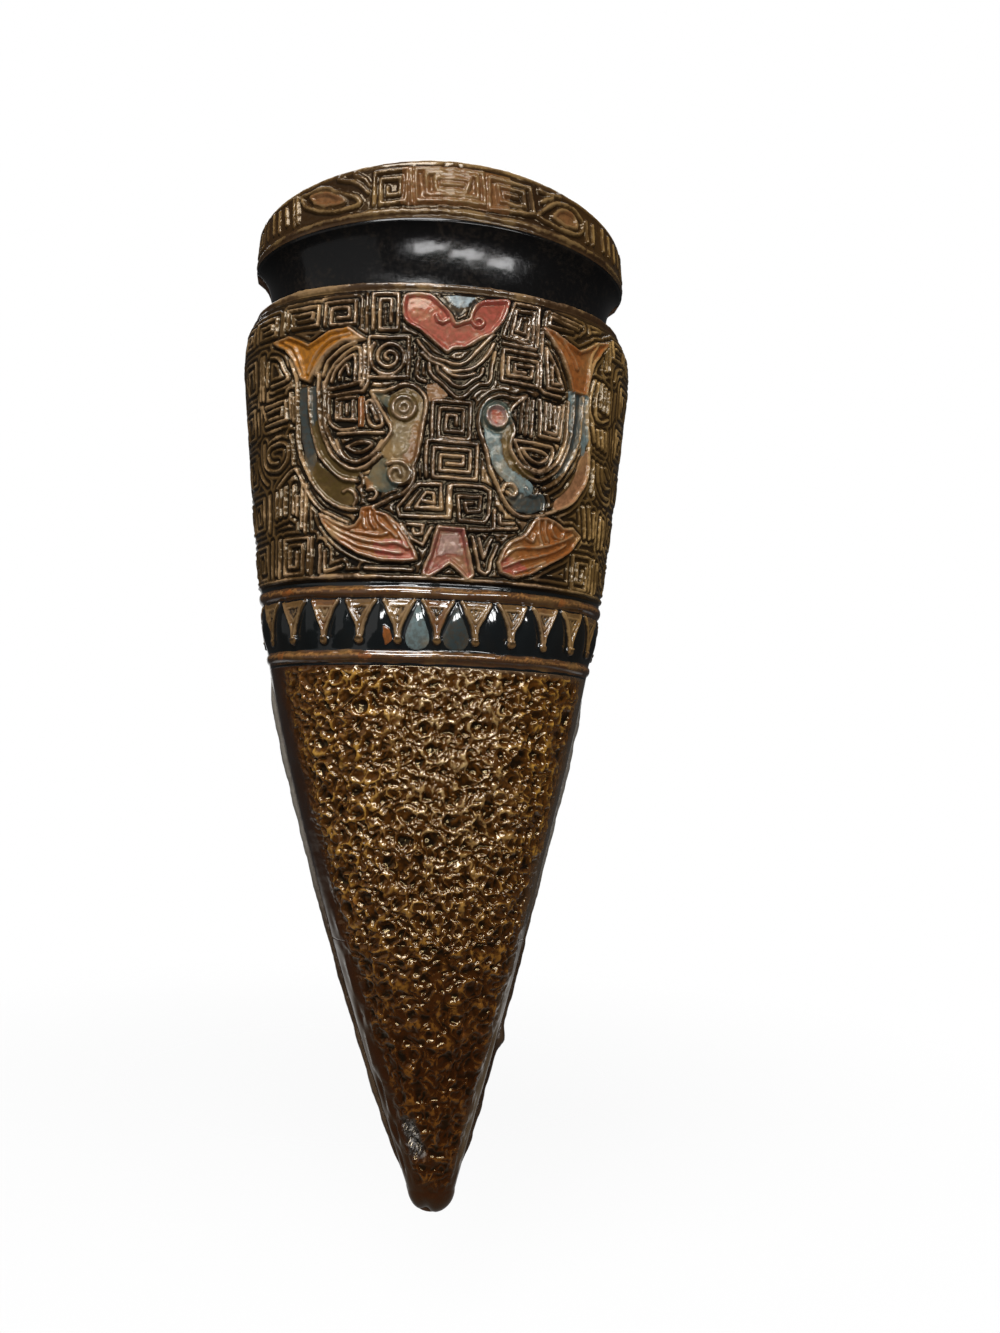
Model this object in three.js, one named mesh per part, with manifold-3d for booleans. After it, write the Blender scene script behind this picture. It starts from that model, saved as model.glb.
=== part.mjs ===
// A conical wall pocket vase in press-moulded earthenware.
// The moulded front shell stands on a flat back slab. The two are luted along their side seams with slip,
// coils of clay are pressed into the inner corners, and a wad of clay seals the tip.
// Millimetres, +Z up, front towards -Y, back face on the plane Y = 0, origin at the hanging hole.
import * as THREE from "three";
import { mergeVertices } from "three/addons/utils/BufferGeometryUtils.js";
import Module from "manifold-3d";

const wasm = await Module();
wasm.setup();

// Lengths up the side seams, from the tip to the rim
const coneMiddleHeight = 49;
const coneLength = 100.8; // tip to lower bead
const lappetBandHeight = 11.1; // lower bead to upper bead
const bodyHeight = 43.1; // upper bead to the widest ring
const shoulderHeight = 12; // widest ring to the crease of the neck
const coveHeight = 8.6; // crease to the foot of the rim
const rimBandHeight = 8.7;
const rimCrest = 5.7; // how much higher the rim stands at the front than at the seams

// Half widths of the front shell at the seams
const noseHalfWidth = 4.4;
const coneMiddleHalfWidth = 17.8;
const lowerBeadHalfWidth = 30.5;
const bodyHalfWidth = 37.2;
const neckHalfWidth = 33;
const rimFootHalfWidth = 35.9;
const rimHalfWidth = 35.1;
const bodyDepth = 26; // how far the front shell stands forward of the seam at its widest
const tipSway = 3.5; // how far the hand-pressed tip leans off the centre line

// Walls and joints
const wall = 4.6;
const slabThickness = 5;
const slabEdgeRadius = 1.5;
const slipLayer = 0.3; // between shell and slab, and between every two pieces that meet
const lipRadius = 1.2;
const coilRadius = 3.6;
const coilTopDrop = 3; // the corner coils stop this far below the widest ring
const slipRidgeRadius = 0.9;
const slipRidgeDrop = 3.4; // the outer slip ridges start this far below the lower bead
const slipRidgeFoot = 8; // and end this far above the tip
const wadHeight = 26; // top of the wad, above the tip
const cavityFloorHalfWidth = 3.6;

// Hanging hole through the slab
const holeDrop = 28.3; // hole centre below the rim at the seams
const holeDiameter = 7;

// Moulded ornament
const beadRadius = 1.4;
const beadProud = 0.9;
const lappetCount = 13;
const lappetRelief = 0.8;
const lappetHalfWidth = 2.7;
const lappetStemHalfWidth = 0.55;
const lappetDropRadius = 0.8;
const lappetMargin = 0.5; // between a lappet and the beads above and below it
const padRelief = 0.6; // forks, plumes, mask, tab and the eyes of birds and rim
const birdRelief = 0.75; // the ridges that draw the birds
const birdRidgeHalfWidth = 0.45;
const fretRelief = 0.6; // square spirals of the ground and the rim
const fretHalfWidth = 0.3;
const fretPitch = 1.25; // from one turn of a spiral to the next
const fretLegs = 6; // straight runs of a spiral
const reliefRoot = 0.6; // how deep an applied relief is rooted in the wall
const stippleRelief = 0.45; // lumps of the stippled cone, above and below its wall
const stippleFade = 8; // over which they die out towards the bead and the tip

// Fineness of the facets
const ringSegments = 48;
const profileSteps = 6;
const coneRows = 24; // rows of facets up the cone
const bodyRows = 6; // and up the bands over it
const tubeSides = 8;

// Heights above the tip
const lowerBead = coneLength;
const upperBead = lowerBead + lappetBandHeight;
const widestRing = upperBead + bodyHeight;
const neckCrease = widestRing + shoulderHeight;
const rimFoot = neckCrease + coveHeight;
const rimTop = rimFoot + rimBandHeight;
const holeCentre = rimTop - holeDrop;

const depthRatio = bodyDepth / bodyHalfWidth;
const seamPlane = -(slabThickness + slipLayer);
const ovalAxis = -(slabThickness + slipLayer / 2); // the half oval springs from the middle of the slip layer
const farAway = 4 * rimTop;

// The outline at the seam, from the nose up to the rim: half widths against heights.
// Each stretch is a curve, so a half width can be read at any height.
const flank = new THREE.SplineCurve([
  new THREE.Vector2(noseHalfWidth, noseHalfWidth),
  new THREE.Vector2(coneMiddleHalfWidth, coneMiddleHeight),
  new THREE.Vector2(lowerBeadHalfWidth, lowerBead),
  new THREE.Vector2(bodyHalfWidth, widestRing),
]);
const shoulder = new THREE.CubicBezierCurve(
  new THREE.Vector2(bodyHalfWidth, widestRing),
  new THREE.Vector2(bodyHalfWidth + 0.2, widestRing + 0.55 * shoulderHeight),
  new THREE.Vector2(bodyHalfWidth - 0.6, neckCrease - 0.8),
  new THREE.Vector2(neckHalfWidth, neckCrease),
);
const cove = new THREE.CubicBezierCurve(
  new THREE.Vector2(neckHalfWidth, neckCrease),
  new THREE.Vector2(neckHalfWidth - 0.7, neckCrease + 0.45 * coveHeight),
  new THREE.Vector2(neckHalfWidth + 0.5, rimFoot - 1.2),
  new THREE.Vector2(rimFootHalfWidth, rimFoot),
);
const flankRows = (from, to, rows) =>
  Array.from({ length: rows }, (_, i) => flank.getPoint(THREE.MathUtils.lerp(from, to, i / rows)));
const outline = [
  ...flankRows(0, 2 / 3, coneRows),
  ...flankRows(2 / 3, 1, bodyRows),
  flank.getPoint(1),
  ...shoulder.getPoints(profileSteps).slice(1),
  ...cove.getPoints(profileSteps).slice(1),
  new THREE.Vector2(rimHalfWidth, rimTop),
];

function halfWidthAt(height) {
  const above = outline.findIndex((p) => p.y > height);
  if (above < 0) return rimHalfWidth;
  if (above === 0) return noseHalfWidth;
  const [low, high] = [outline[above - 1], outline[above]];
  return THREE.MathUtils.mapLinear(height, low.y, high.y, low.x, high.x);
}

// The centre line drifts sideways below the lower bead, where the soft cone was pressed off true.
function swayAt(height) {
  return tipSway * Math.max(0, 1 - height / lowerBead) ** 1.5;
}

// The rim rises towards the front, from nothing at the neck.
function crestAt(height) {
  return rimCrest * THREE.MathUtils.clamp((height - neckCrease) / (rimTop - neckCrease), 0, 1.5);
}

function solidOf(geometry) {
  const bare = geometry.index ? geometry.toNonIndexed() : geometry.clone();
  bare.deleteAttribute("normal");
  bare.deleteAttribute("uv");
  const merged = mergeVertices(bare, 1e-4);
  return new wasm.Manifold(
    new wasm.Mesh({
      numProp: 3,
      vertProperties: new Float32Array(merged.attributes.position.array),
      triVerts: new Uint32Array(merged.index.array),
    }),
  );
}

function geometryOf(solid) {
  const { vertProperties, triVerts } = solid.getMesh();
  const geometry = new THREE.BufferGeometry();
  geometry.setAttribute("position", new THREE.BufferAttribute(vertProperties, 3));
  geometry.setIndex(new THREE.BufferAttribute(triVerts, 1));
  geometry.computeVertexNormals();
  return geometry;
}

// Everything between two heights in front of a plane, as a block to cut with.
function block(lowest, highest, back = 0) {
  const box = new THREE.BoxGeometry(farAway, farAway, highest - lowest);
  return solidOf(box.translate(0, back - farAway / 2, (highest + lowest) / 2));
}

// A lump or hollow of the stippled cone at one corner of its facets: uneven, and dying out towards the seams,
// the bead and the tip.
function stippleAt(row, column, height, forward) {
  const { smoothstep } = THREE.MathUtils;
  const scatter = 43758.5453 * Math.sin(12.9898 * row + 78.233 * column);
  const uneven = 2 * (scatter - Math.floor(scatter)) - 1;
  const along = smoothstep(height, noseHalfWidth, noseHalfWidth + stippleFade);
  const below = smoothstep(lowerBead - beadRadius - height, 0, stippleFade);
  return stippleRelief * uneven * along * below * smoothstep(-forward, 0.2, 0.5);
}

// A turned profile, pressed to a half oval: every ring is as wide as the profile says and inset from the
// outer depth by the same wall, and the rim's crest, the tip's lean and a stippled face's lumps are added.
function turned(profile, inset, stippled = false) {
  const geometry = new THREE.LatheGeometry(profile, ringSegments, Math.PI / ringSegments).rotateX(Math.PI / 2);
  const position = geometry.attributes.position;
  for (let i = 0; i < position.count; i++) {
    const [x, y, height] = [position.getX(i), position.getY(i), position.getZ(i)];
    const [row, column] = [i % profile.length, Math.floor(i / profile.length) % ringSegments];
    const radius = Math.hypot(x, y);
    const depth = depthRatio * (radius + inset) - inset;
    const forward = radius > 1e-6 ? y / radius : 0;
    const lump = stippled ? stippleAt(row, column, height, forward) : 0;
    position.setXYZ(
      i,
      x + swayAt(height) + (radius > 1e-6 ? (lump * x) / radius : 0),
      ovalAxis + (depth + lump) * forward,
      height + crestAt(height) * forward ** 2,
    );
  }
  return solidOf(geometry);
}

// A half-round bead on the outline, as profile points from its lower to its upper edge.
function beadProfile(height) {
  const halfWidth = halfWidthAt(height);
  const sink = beadRadius - beadProud;
  const reach = Math.acos(sink / beadRadius);
  return Array.from({ length: profileSteps }, (_, i) => {
    const angle = THREE.MathUtils.lerp(-reach, reach, i / (profileSteps - 1));
    return new THREE.Vector2(
      halfWidth - sink + beadRadius * Math.cos(angle),
      height + beadRadius * Math.sin(angle),
    );
  });
}

function shellProfile() {
  const beads = [beadProfile(lowerBead), beadProfile(upperBead)];
  const clear = (p) => beads.every((bead) => p.y < bead[0].y || p.y > bead.at(-1).y);
  const wallPoints = [...outline.slice(0, -1).filter(clear), ...beads.flat()];
  wallPoints.sort((p, q) => p.y - q.y);
  const nose = new THREE.EllipseCurve(0, noseHalfWidth, noseHalfWidth, noseHalfWidth, -Math.PI / 2, 0);
  const lip = new THREE.EllipseCurve(
    rimHalfWidth - lipRadius,
    rimTop - lipRadius,
    lipRadius,
    lipRadius,
    0,
    Math.PI / 2,
  );
  return [
    ...nose.getPoints(profileSteps).slice(0, -1),
    ...wallPoints,
    ...lip.getPoints(4),
    new THREE.Vector2(0, rimTop),
  ];
}

// The pocket inside, one wall in from the outline, and open past the top of the rim.
function cavity(inset) {
  const inner = outline
    .filter((_, i) => i % 3 === 0)
    .map((p) => new THREE.Vector2(p.x - inset, p.y))
    .filter((p) => p.x > cavityFloorHalfWidth);
  const mouth = inner.at(-1).x;
  const floor = inner[0].y - 1;
  return turned(
    [
      new THREE.Vector2(0, floor),
      new THREE.Vector2(cavityFloorHalfWidth, floor),
      ...inner,
      new THREE.Vector2(mouth, rimTop + 3 * rimCrest),
      new THREE.Vector2(0, rimTop + 3 * rimCrest),
    ],
    inset,
  );
}

// The oval's arc length from the front centre line, for a half width of one
const ovalTurns = Array.from({ length: 181 }, (_, i) => (i / 180) * (Math.PI / 2));
const ovalArcs = [0];
for (let i = 1; i < ovalTurns.length; i++) {
  const middle = (ovalTurns[i] + ovalTurns[i - 1]) / 2;
  const speed = Math.hypot(Math.cos(middle), depthRatio * Math.sin(middle));
  ovalArcs.push(ovalArcs[i - 1] + speed * (ovalTurns[i] - ovalTurns[i - 1]));
}

// A point on the moulded surface: arc along the ring from the front centre line, height, and lift off the wall.
function onSurface(arc, height, lift) {
  const halfWidth = halfWidthAt(height);
  const reach = Math.min(Math.abs(arc) / halfWidth, ovalArcs.at(-1));
  const after = Math.max(1, ovalArcs.findIndex((length) => length >= reach));
  const turn =
    Math.sign(arc) *
    THREE.MathUtils.mapLinear(
      reach,
      ovalArcs[after - 1],
      ovalArcs[after],
      ovalTurns[after - 1],
      ovalTurns[after],
    );
  const normal = new THREE.Vector2(depthRatio * Math.sin(turn), -Math.cos(turn)).normalize();
  return new THREE.Vector3(
    swayAt(height) + halfWidth * Math.sin(turn) + lift * normal.x,
    ovalAxis - depthRatio * halfWidth * Math.cos(turn) + lift * normal.y,
    height + crestAt(height) * Math.cos(turn) ** 2,
  );
}

// A flat outline (arc against height) raised as a relief on the wall.
function relief(shape, lift) {
  const geometry = new THREE.ExtrudeGeometry(shape, {
    depth: 1,
    bevelEnabled: false,
    curveSegments: 3,
  });
  const position = geometry.attributes.position;
  for (let i = 0; i < position.count; i++) {
    const away = THREE.MathUtils.lerp(-reliefRoot, lift, position.getZ(i));
    const point = onSurface(position.getX(i), position.getY(i), away);
    position.setXYZ(i, point.x, point.y, point.z);
  }
  return solidOf(geometry);
}

// A hanging lappet: a broad top, hollow sides, a thin stem and a round drop at its foot.
function lappetShape(arc) {
  const beadEdge = beadRadius + lappetMargin;
  const top = upperBead - beadEdge;
  const foot = lowerBead + beadEdge;
  const dropCentre = foot + lappetDropRadius;
  const stemTop = dropCentre + Math.sqrt(lappetDropRadius ** 2 - lappetStemHalfWidth ** 2);
  const waist = THREE.MathUtils.lerp(stemTop, top, 0.4);
  const dropStart = Math.atan2(stemTop - dropCentre, -lappetStemHalfWidth);
  const shape = new THREE.Shape();
  shape.moveTo(arc + lappetHalfWidth, top);
  shape.lineTo(arc - lappetHalfWidth, top);
  shape.quadraticCurveTo(arc - lappetStemHalfWidth, waist, arc - lappetStemHalfWidth, stemTop);
  shape.absarc(arc, dropCentre, lappetDropRadius, dropStart, Math.PI - dropStart + 2 * Math.PI, false);
  shape.quadraticCurveTo(arc + lappetStemHalfWidth, waist, arc + lappetHalfWidth, top);
  return shape;
}

function lappets() {
  const middle = (lowerBead + upperBead) / 2;
  const pitch = (2 * ovalArcs.at(-1) * halfWidthAt(middle)) / lappetCount;
  const first = (-pitch * (lappetCount - 1)) / 2;
  return Array.from({ length: lappetCount }, (_, i) => relief(lappetShape(first + i * pitch), lappetRelief));
}

// The ornament between the upper bead and the neck, as outlines of arc against height above the upper bead,
// drawn for a field of this size and fitted to the one there is. Those of one side are mirrored on the other.
const drawnField = { halfWidth: 37.2, height: 55.1, rimHeight: 8.7 };
const bodyField = { base: upperBead, stretch: (neckCrease - upperBead) / drawnField.height };
const rimField = { base: rimFoot, stretch: rimBandHeight / drawnField.rimHeight };
const fieldWidth = bodyHalfWidth / drawnField.halfWidth;

const sideMotifs = {
  fork: [
    [-33.7, 45.1], [-30, 45.5], [-27.4, 44.2], [-25.9, 43.2], [-24.2, 44], [-21.7, 45.4], [-18.6, 45.9],
    [-16.2, 44.2], [-19.2, 43.7], [-22, 42.2], [-24.2, 39.6], [-25.2, 37.6], [-27.2, 37.6], [-28.7, 41.2],
    [-30.8, 43.5],
  ],
  plume: [
    [-21.3, 12.2], [-19, 13], [-16.7, 12.2], [-14.7, 13.5], [-12.4, 13.6], [-10, 12.4], [-7.9, 10.5],
    [-6.2, 8], [-5.4, 5.9], [-8.3, 5.3], [-11.7, 5.5], [-15, 6.3], [-17.9, 8], [-20.4, 10],
  ],
  eye: [
    [-6.4, 31.9], [-7.2, 33.3], [-9, 33.3], [-9.8, 31.9], [-9, 30.4], [-7.2, 30.4],
  ],
};
// Ridges that draw the birds: from the tail round the breast to the beak, round the hollow of the back, and
// down the middle of the tail
const sideRidges = {
  birdOutline: [
    [-27.9, 36.8], [-27.5, 29.4], [-26.1, 22.2], [-23.9, 18.5], [-20.8, 15.6], [-17.6, 14.3], [-13.4, 14.5],
    [-8.8, 16.2], [-6, 18.6], [-5.1, 22], [-4.8, 27], [-4.4, 30.4], [-5.8, 34.5], [-7.9, 35.7], [-13.7, 34.9],
  ],
  birdBack: [
    [-23.7, 37.3], [-23.3, 31], [-21.9, 26], [-19.5, 22.3], [-16.4, 21.3], [-13.2, 22.6], [-10.9, 25.6],
    [-10, 28.2], [-11.2, 31], [-13.1, 33.4],
  ],
  tailRib: [
    [-25.6, 36], [-25.2, 29.4], [-23.7, 24.1], [-21.1, 20.4], [-18.1, 18.9],
  ],
};
// and the brows under the mask
const middleRidges = {
  brow: [
    [-6.1, 43.8], [-3.6, 41], [0.3, 39.9], [3.1, 41], [7.3, 45.4],
  ],
  lowerBrow: [
    [-3.9, 39.4], [-2.5, 37.1], [1.2, 34.8], [3.7, 35.9], [6.8, 38.2], [7.6, 42.5],
  ],
};
const middleMotifs = {
  mask: [
    [0, 46.9], [1.5, 47.3], [2.6, 49.4], [4.3, 51.2], [6.4, 52], [9, 52], [8.8, 50], [7.3, 47], [4.8, 44.7],
    [2.6, 43.1], [0, 42.6], [-2.6, 43.1], [-4.8, 44.7], [-7.3, 47], [-8.8, 50], [-9, 52], [-6.4, 52], [-4.3, 51.2],
    [-2.6, 49.4], [-1.5, 47.3],
  ],
  tab: [
    [-2.3, 11.5], [2.3, 11.5], [3, 8.6], [4.4, 3.8], [2.2, 3.9], [0, 5.2], [-2.2, 3.9], [-4.4, 3.8], [-3, 8.6],
  ],
};

// Square spirals: arc and height of the middle above the upper bead, width and height over the outer turn.
const middleFrets = [
  [0, 30.3, 6.4, 6.4],
  [0, 23.1, 8.6, 6],
  [-3.6, 16.1, 6, 5.8],
  [3.6, 16.1, 6, 5.8],
];
const sideFrets = [
  [-11.9, 48.4, 4.2, 6.6],
  [-11.2, 40.6, 6, 6.4],
  [-18.4, 39.4, 4.6, 6],
  [-18.2, 31.6, 5.4, 5.8],
  [-19.4, 48.8, 5, 4],
  [-27.4, 48.8, 6, 3.6],
  [-33, 32.4, 6, 5.6],
  [-33, 25, 6, 5.6],
  [-29, 16.6, 6, 6.6],
  [-27.6, 6.8, 6, 6.4],
  [-36.6, 48.3, 5.6, 3.6],
  [-43.2, 48.1, 5, 3.6],
  [-41.8, 40.3, 4.6, 5.2],
  [-42.2, 31.9, 4.6, 5.2],
  [-41.8, 23.5, 4.4, 5.2],
  [-39.2, 15.1, 5, 5.4],
  [-37.8, 6.1, 4.8, 5.6],
];
// The same along the rim, with heights above the rim's foot
const rimFrets = [
  [-1.1, 4.7, 12, 4.4],
  [-11.7, 4.6, 5.8, 4.6],
  [10, 4.5, 7, 4],
];
// the long eyes beside them, and the bars that fill the rim's ends
const rimEye = [
  [-28.4, 6.2], [-24.5, 6.5], [-20.4, 4.9], [-16.4, 3], [-20.6, 2.3], [-25, 3.1],
];
const rimBarArcs = [31, 33.2, 35.3, 37.4];
const rimBarFoot = 2.8;
const rimBarHead = 6.7;

function motifShape(points, side, { base, stretch }) {
  const [first, ...rest] = points.map(
    ([arc, height]) => new THREE.Vector2(side * fieldWidth * arc, base + stretch * height),
  );
  const shape = new THREE.Shape().moveTo(first.x, first.y);
  rest.forEach((p) => shape.lineTo(p.x, p.y));
  return shape;
}

// A ridge of even width along a line, mitred at its corners.
function ridgeShape(line, halfWidth, side, field) {
  const corners = line.map(([arc, height]) => new THREE.Vector2(arc, height));
  const edge = (hand) =>
    corners.map((corner, i) => {
      const before = corner.clone().sub(corners[i - 1] ?? corner).normalize();
      const after = (corners[i + 1] ?? corner).clone().sub(corner).normalize();
      const along = before.clone().add(after).divideScalar(1 + before.dot(after));
      return [corner.x - hand * halfWidth * along.y, corner.y + hand * halfWidth * along.x];
    });
  return motifShape([...edge(1), ...edge(-1).reverse()], side, field);
}

// One ridge winding inwards from the lower left corner, each turn a pitch inside the one before. The innermost
// turns are too fine for the solid.
function fretShape([arc, middle, width, tall], side, field) {
  const headings = [[0, 1], [1, 0], [0, -1], [-1, 0]];
  const line = [[arc - width / 2, middle - tall / 2]];
  for (let leg = 0; leg < fretLegs; leg++) {
    const [across, up] = headings[leg % 4];
    const lost = fretPitch * Math.max(0, Math.floor((leg - 1) / 2));
    const length = (across ? width : tall) - lost;
    if (length < fretPitch) break;
    const [x, y] = line.at(-1);
    line.push([x + across * length, y + up * length]);
  }
  return ridgeShape(line, fretHalfWidth, side, field);
}

function ornament() {
  const both = [1, -1];
  const rimBar = (arc) => [[arc, rimBarFoot], [arc, rimBarHead]];
  const pads = [
    ...both.flatMap((side) => Object.values(sideMotifs).map((m) => motifShape(m, side, bodyField))),
    ...Object.values(middleMotifs).map((m) => motifShape(m, 1, bodyField)),
    ...both.map((side) => motifShape(rimEye, side, rimField)),
  ];
  const birds = both.flatMap((side) =>
    Object.values(sideRidges).map((r) => ridgeShape(r, birdRidgeHalfWidth, side, bodyField)),
  );
  const frets = [
    ...both.flatMap((side) => sideFrets.map((f) => fretShape(f, side, bodyField))),
    ...middleFrets.map((f) => fretShape(f, 1, bodyField)),
    ...rimFrets.map((f) => fretShape(f, 1, rimField)),
    ...Object.values(middleRidges).map((r) => ridgeShape(r, fretHalfWidth, 1, bodyField)),
    ...both.flatMap((side) => rimBarArcs.map((a) => ridgeShape(rimBar(a), fretHalfWidth, side, rimField))),
  ];
  return [
    ...pads.map((shape) => relief(shape, padRelief)),
    ...birds.map((shape) => relief(shape, birdRelief)),
    ...frets.map((shape) => relief(shape, fretRelief)),
  ];
}

// A round rod of clay along the seam, on one side (-1 left, 1 right), inset from the outline.
function seamRod(side, radius, inset, lowest, highest) {
  const steps = 18;
  const points = Array.from({ length: steps + 1 }, (_, i) => {
    const height = THREE.MathUtils.lerp(lowest, highest, i / steps);
    return new THREE.Vector3(side * (halfWidthAt(height) - inset) + swayAt(height), ovalAxis, height);
  });
  const section = new THREE.Shape();
  for (let i = 0; i < tubeSides; i++) {
    const angle = (2 * Math.PI * i) / tubeSides;
    const [x, y] = [radius * Math.cos(angle), radius * Math.sin(angle)];
    if (i) section.lineTo(x, y);
    else section.moveTo(x, y);
  }
  const geometry = new THREE.ExtrudeGeometry(section, {
    steps,
    extrudePath: new THREE.CatmullRomCurve3(points),
  });
  return solidOf(geometry);
}

// The slab's outline follows the shell's at the seam, up one side and down the other.
function slabShape() {
  const nose = new THREE.EllipseCurve(0, noseHalfWidth, noseHalfWidth, noseHalfWidth, -Math.PI / 2, 0);
  const right = [...nose.getPoints(profileSteps).slice(0, -1), ...outline];
  const left = right.slice(1).reverse().map((p) => new THREE.Vector2(-p.x, p.y));
  return new THREE.Shape([...right, ...left].map((p) => new THREE.Vector2(p.x + swayAt(p.y), p.y)));
}

function backSlab() {
  const geometry = new THREE.ExtrudeGeometry(slabShape(), {
    depth: slabThickness,
    bevelThickness: slabEdgeRadius,
    bevelSize: slabEdgeRadius,
    bevelOffset: -slabEdgeRadius,
    bevelSegments: 2,
  });
  const thick = solidOf(geometry.rotateX(Math.PI / 2).translate(0, -slabEdgeRadius, 0));
  const hole = new THREE.CylinderGeometry(holeDiameter / 2, holeDiameter / 2, 4 * slabThickness, 32);
  return thick
    .subtract(block(-farAway, farAway, -slabThickness))
    .subtract(solidOf(hole.translate(0, 0, holeCentre)));
}

function clay(name, solid, colour, roughness) {
  const material = new THREE.MeshStandardMaterial({ color: colour, roughness, metalness: 0 });
  const mesh = new THREE.Mesh(geometryOf(solid), material);
  mesh.name = name;
  return mesh;
}

// Cutting and joining
const sides = { left: -1, right: 1 };
const ridgeTop = lowerBead - beadRadius - slipRidgeDrop;
const ridgeCut = Object.values(sides)
  .map((side) => seamRod(side, slipRidgeRadius + slipLayer, 0, slipRidgeFoot - slipLayer, ridgeTop + slipLayer))
  .reduce((a, b) => a.add(b));
const pressedFront = [...lappets(), ...ornament()].reduce(
  (shell, raised) => shell.add(raised),
  turned(shellProfile(), 0, true),
);
const frontShell = pressedFront
  .intersect(block(-farAway, farAway, seamPlane))
  .subtract(cavity(wall))
  .subtract(ridgeCut);
const pocket = cavity(wall + slipLayer).intersect(block(-farAway, farAway, -slabThickness - slipLayer));

const vase = new THREE.Group();
vase.position.z = -holeCentre;
vase.add(clay("front_shell", frontShell, 0x6b4a22, 0.35));
vase.add(clay("back_slab", backSlab().subtract(ridgeCut), 0x4a2f1a, 0.6));
vase.add(clay("tip_wad", pocket.intersect(block(-farAway, wadHeight)), 0x7a4a30, 0.8));
for (const [name, side] of Object.entries(sides)) {
  const ridge = seamRod(side, slipRidgeRadius, 0, slipRidgeFoot, ridgeTop);
  vase.add(clay(`seam_slip_${name}`, ridge, 0x55422c, 0.45));
  const coil = seamRod(side, coilRadius, wall, wadHeight + slipLayer, widestRing - coilTopDrop);
  vase.add(clay(`seam_coil_${name}`, coil.intersect(pocket), 0x7a4a30, 0.8));
}

const part = new THREE.Group();
part.add(vase);
export default part;
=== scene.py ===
import math

import bpy
import numpy as np
from mathutils import Matrix, Vector


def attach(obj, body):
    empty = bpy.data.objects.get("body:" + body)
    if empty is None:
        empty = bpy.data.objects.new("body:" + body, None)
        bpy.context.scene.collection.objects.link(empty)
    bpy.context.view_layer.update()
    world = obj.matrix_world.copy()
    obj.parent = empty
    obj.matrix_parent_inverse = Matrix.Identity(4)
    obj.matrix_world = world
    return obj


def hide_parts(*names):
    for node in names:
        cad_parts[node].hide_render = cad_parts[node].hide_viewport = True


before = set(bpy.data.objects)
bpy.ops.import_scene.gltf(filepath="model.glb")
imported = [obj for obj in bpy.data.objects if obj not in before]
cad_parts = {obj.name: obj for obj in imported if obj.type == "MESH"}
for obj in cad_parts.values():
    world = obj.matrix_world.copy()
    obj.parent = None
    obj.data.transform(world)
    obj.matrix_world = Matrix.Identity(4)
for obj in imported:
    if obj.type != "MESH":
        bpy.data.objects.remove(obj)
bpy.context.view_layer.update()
scene = bpy.context.scene
mm = 0.001
print("frame loaded:", ", ".join(sorted(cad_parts)))

# form of the pressed front, in mm: half width and height above the tip
vase = {
    "flank": ((4.4, 4.4), (17.8, 49), (30.5, 100.8), (37.2, 155)),
    "shoulder": ((37.2, 155), (37.4, 161.6), (36.6, 166.2), (33, 167)),
    "cove": ((33, 167), (32.3, 170.87), (33.5, 174.4), (35.9, 175.6)),
    "rim": (35.1, 184.3),
    "lip": 1.5,
    "crest": 5.7,      # the rim stands this much higher at the front
    "sway": 3.5,       # the tip leans this far to the right
    "swayCurve": 1.5,
    "depth": 26 / 37.2,
    "seam": -5.15,
    "slab": 5.0,
    "hole": 156.0,     # the frame's origin, above the tip
    "wall": 4.6,
    "lowerBead": 100.8,
    "upperBead": 111.9,
    "flankSteps": 24,
    "curveSteps": 16,
    "arcSteps": 720,
}
nose = vase["flank"][0][0]
crease, rimFoot, rimTop = vase["shoulder"][-1][1], vase["cove"][-1][1], vase["rim"][1]


def splinePoints(points, steps):
    points = np.array(points, float)
    ends = np.vstack([points[:1], points, points[-1:]])
    t = np.linspace(0, 1, steps, endpoint=False)[:, None]
    runs = []
    for p0, p1, p2, p3 in zip(ends, ends[1:], ends[2:], ends[3:]):
        v0, v1 = (p2 - p0) / 2, (p3 - p1) / 2
        cubic, square = 2 * p1 - 2 * p2 + v0 + v1, 3 * p2 - 3 * p1 - 2 * v0 - v1
        runs.append(cubic * t**3 + square * t**2 + v0 * t + p1)
    return np.vstack(runs + [points[-1:]])


def bezierPoints(points, steps):
    a, b, c, d = np.array(points, float)
    t = np.linspace(0, 1, steps + 1)[1:, None]
    return (1 - t) ** 3 * a + 3 * (1 - t) ** 2 * t * b + 3 * (1 - t) * t**2 * c + t**3 * d


outline = np.vstack([
    splinePoints(vase["flank"], vase["flankSteps"]),
    bezierPoints(vase["shoulder"], vase["curveSteps"]),
    bezierPoints(vase["cove"], vase["curveSteps"]),
    [vase["rim"]],
])

# arc length round the half oval from the front, for a half width of one
ovalTurn = np.linspace(0, math.pi / 2, vase["arcSteps"] + 1)
ovalStep = np.hypot(np.cos(ovalTurn), vase["depth"] * np.sin(ovalTurn))
ovalArc = np.concatenate([[0], np.cumsum((ovalStep[1:] + ovalStep[:-1]) / 2 * np.diff(ovalTurn))])
quarter = ovalArc[-1]


def halfWidth(height):
    rounded = np.sqrt(np.maximum(nose**2 - (nose - np.clip(height, 0, nose)) ** 2, 0))
    return np.where(height < nose, rounded, np.interp(height, outline[:, 1], outline[:, 0]))


def sway(height):
    return vase["sway"] * np.maximum(0, 1 - height / vase["lowerBead"]) ** vase["swayCurve"]


def crest(height):
    return vase["crest"] * np.clip((height - crease) / (rimTop - crease), 0, 1)


def turnAt(reach):
    return np.sign(reach) * np.interp(np.abs(reach), ovalArc, ovalTurn)


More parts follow.
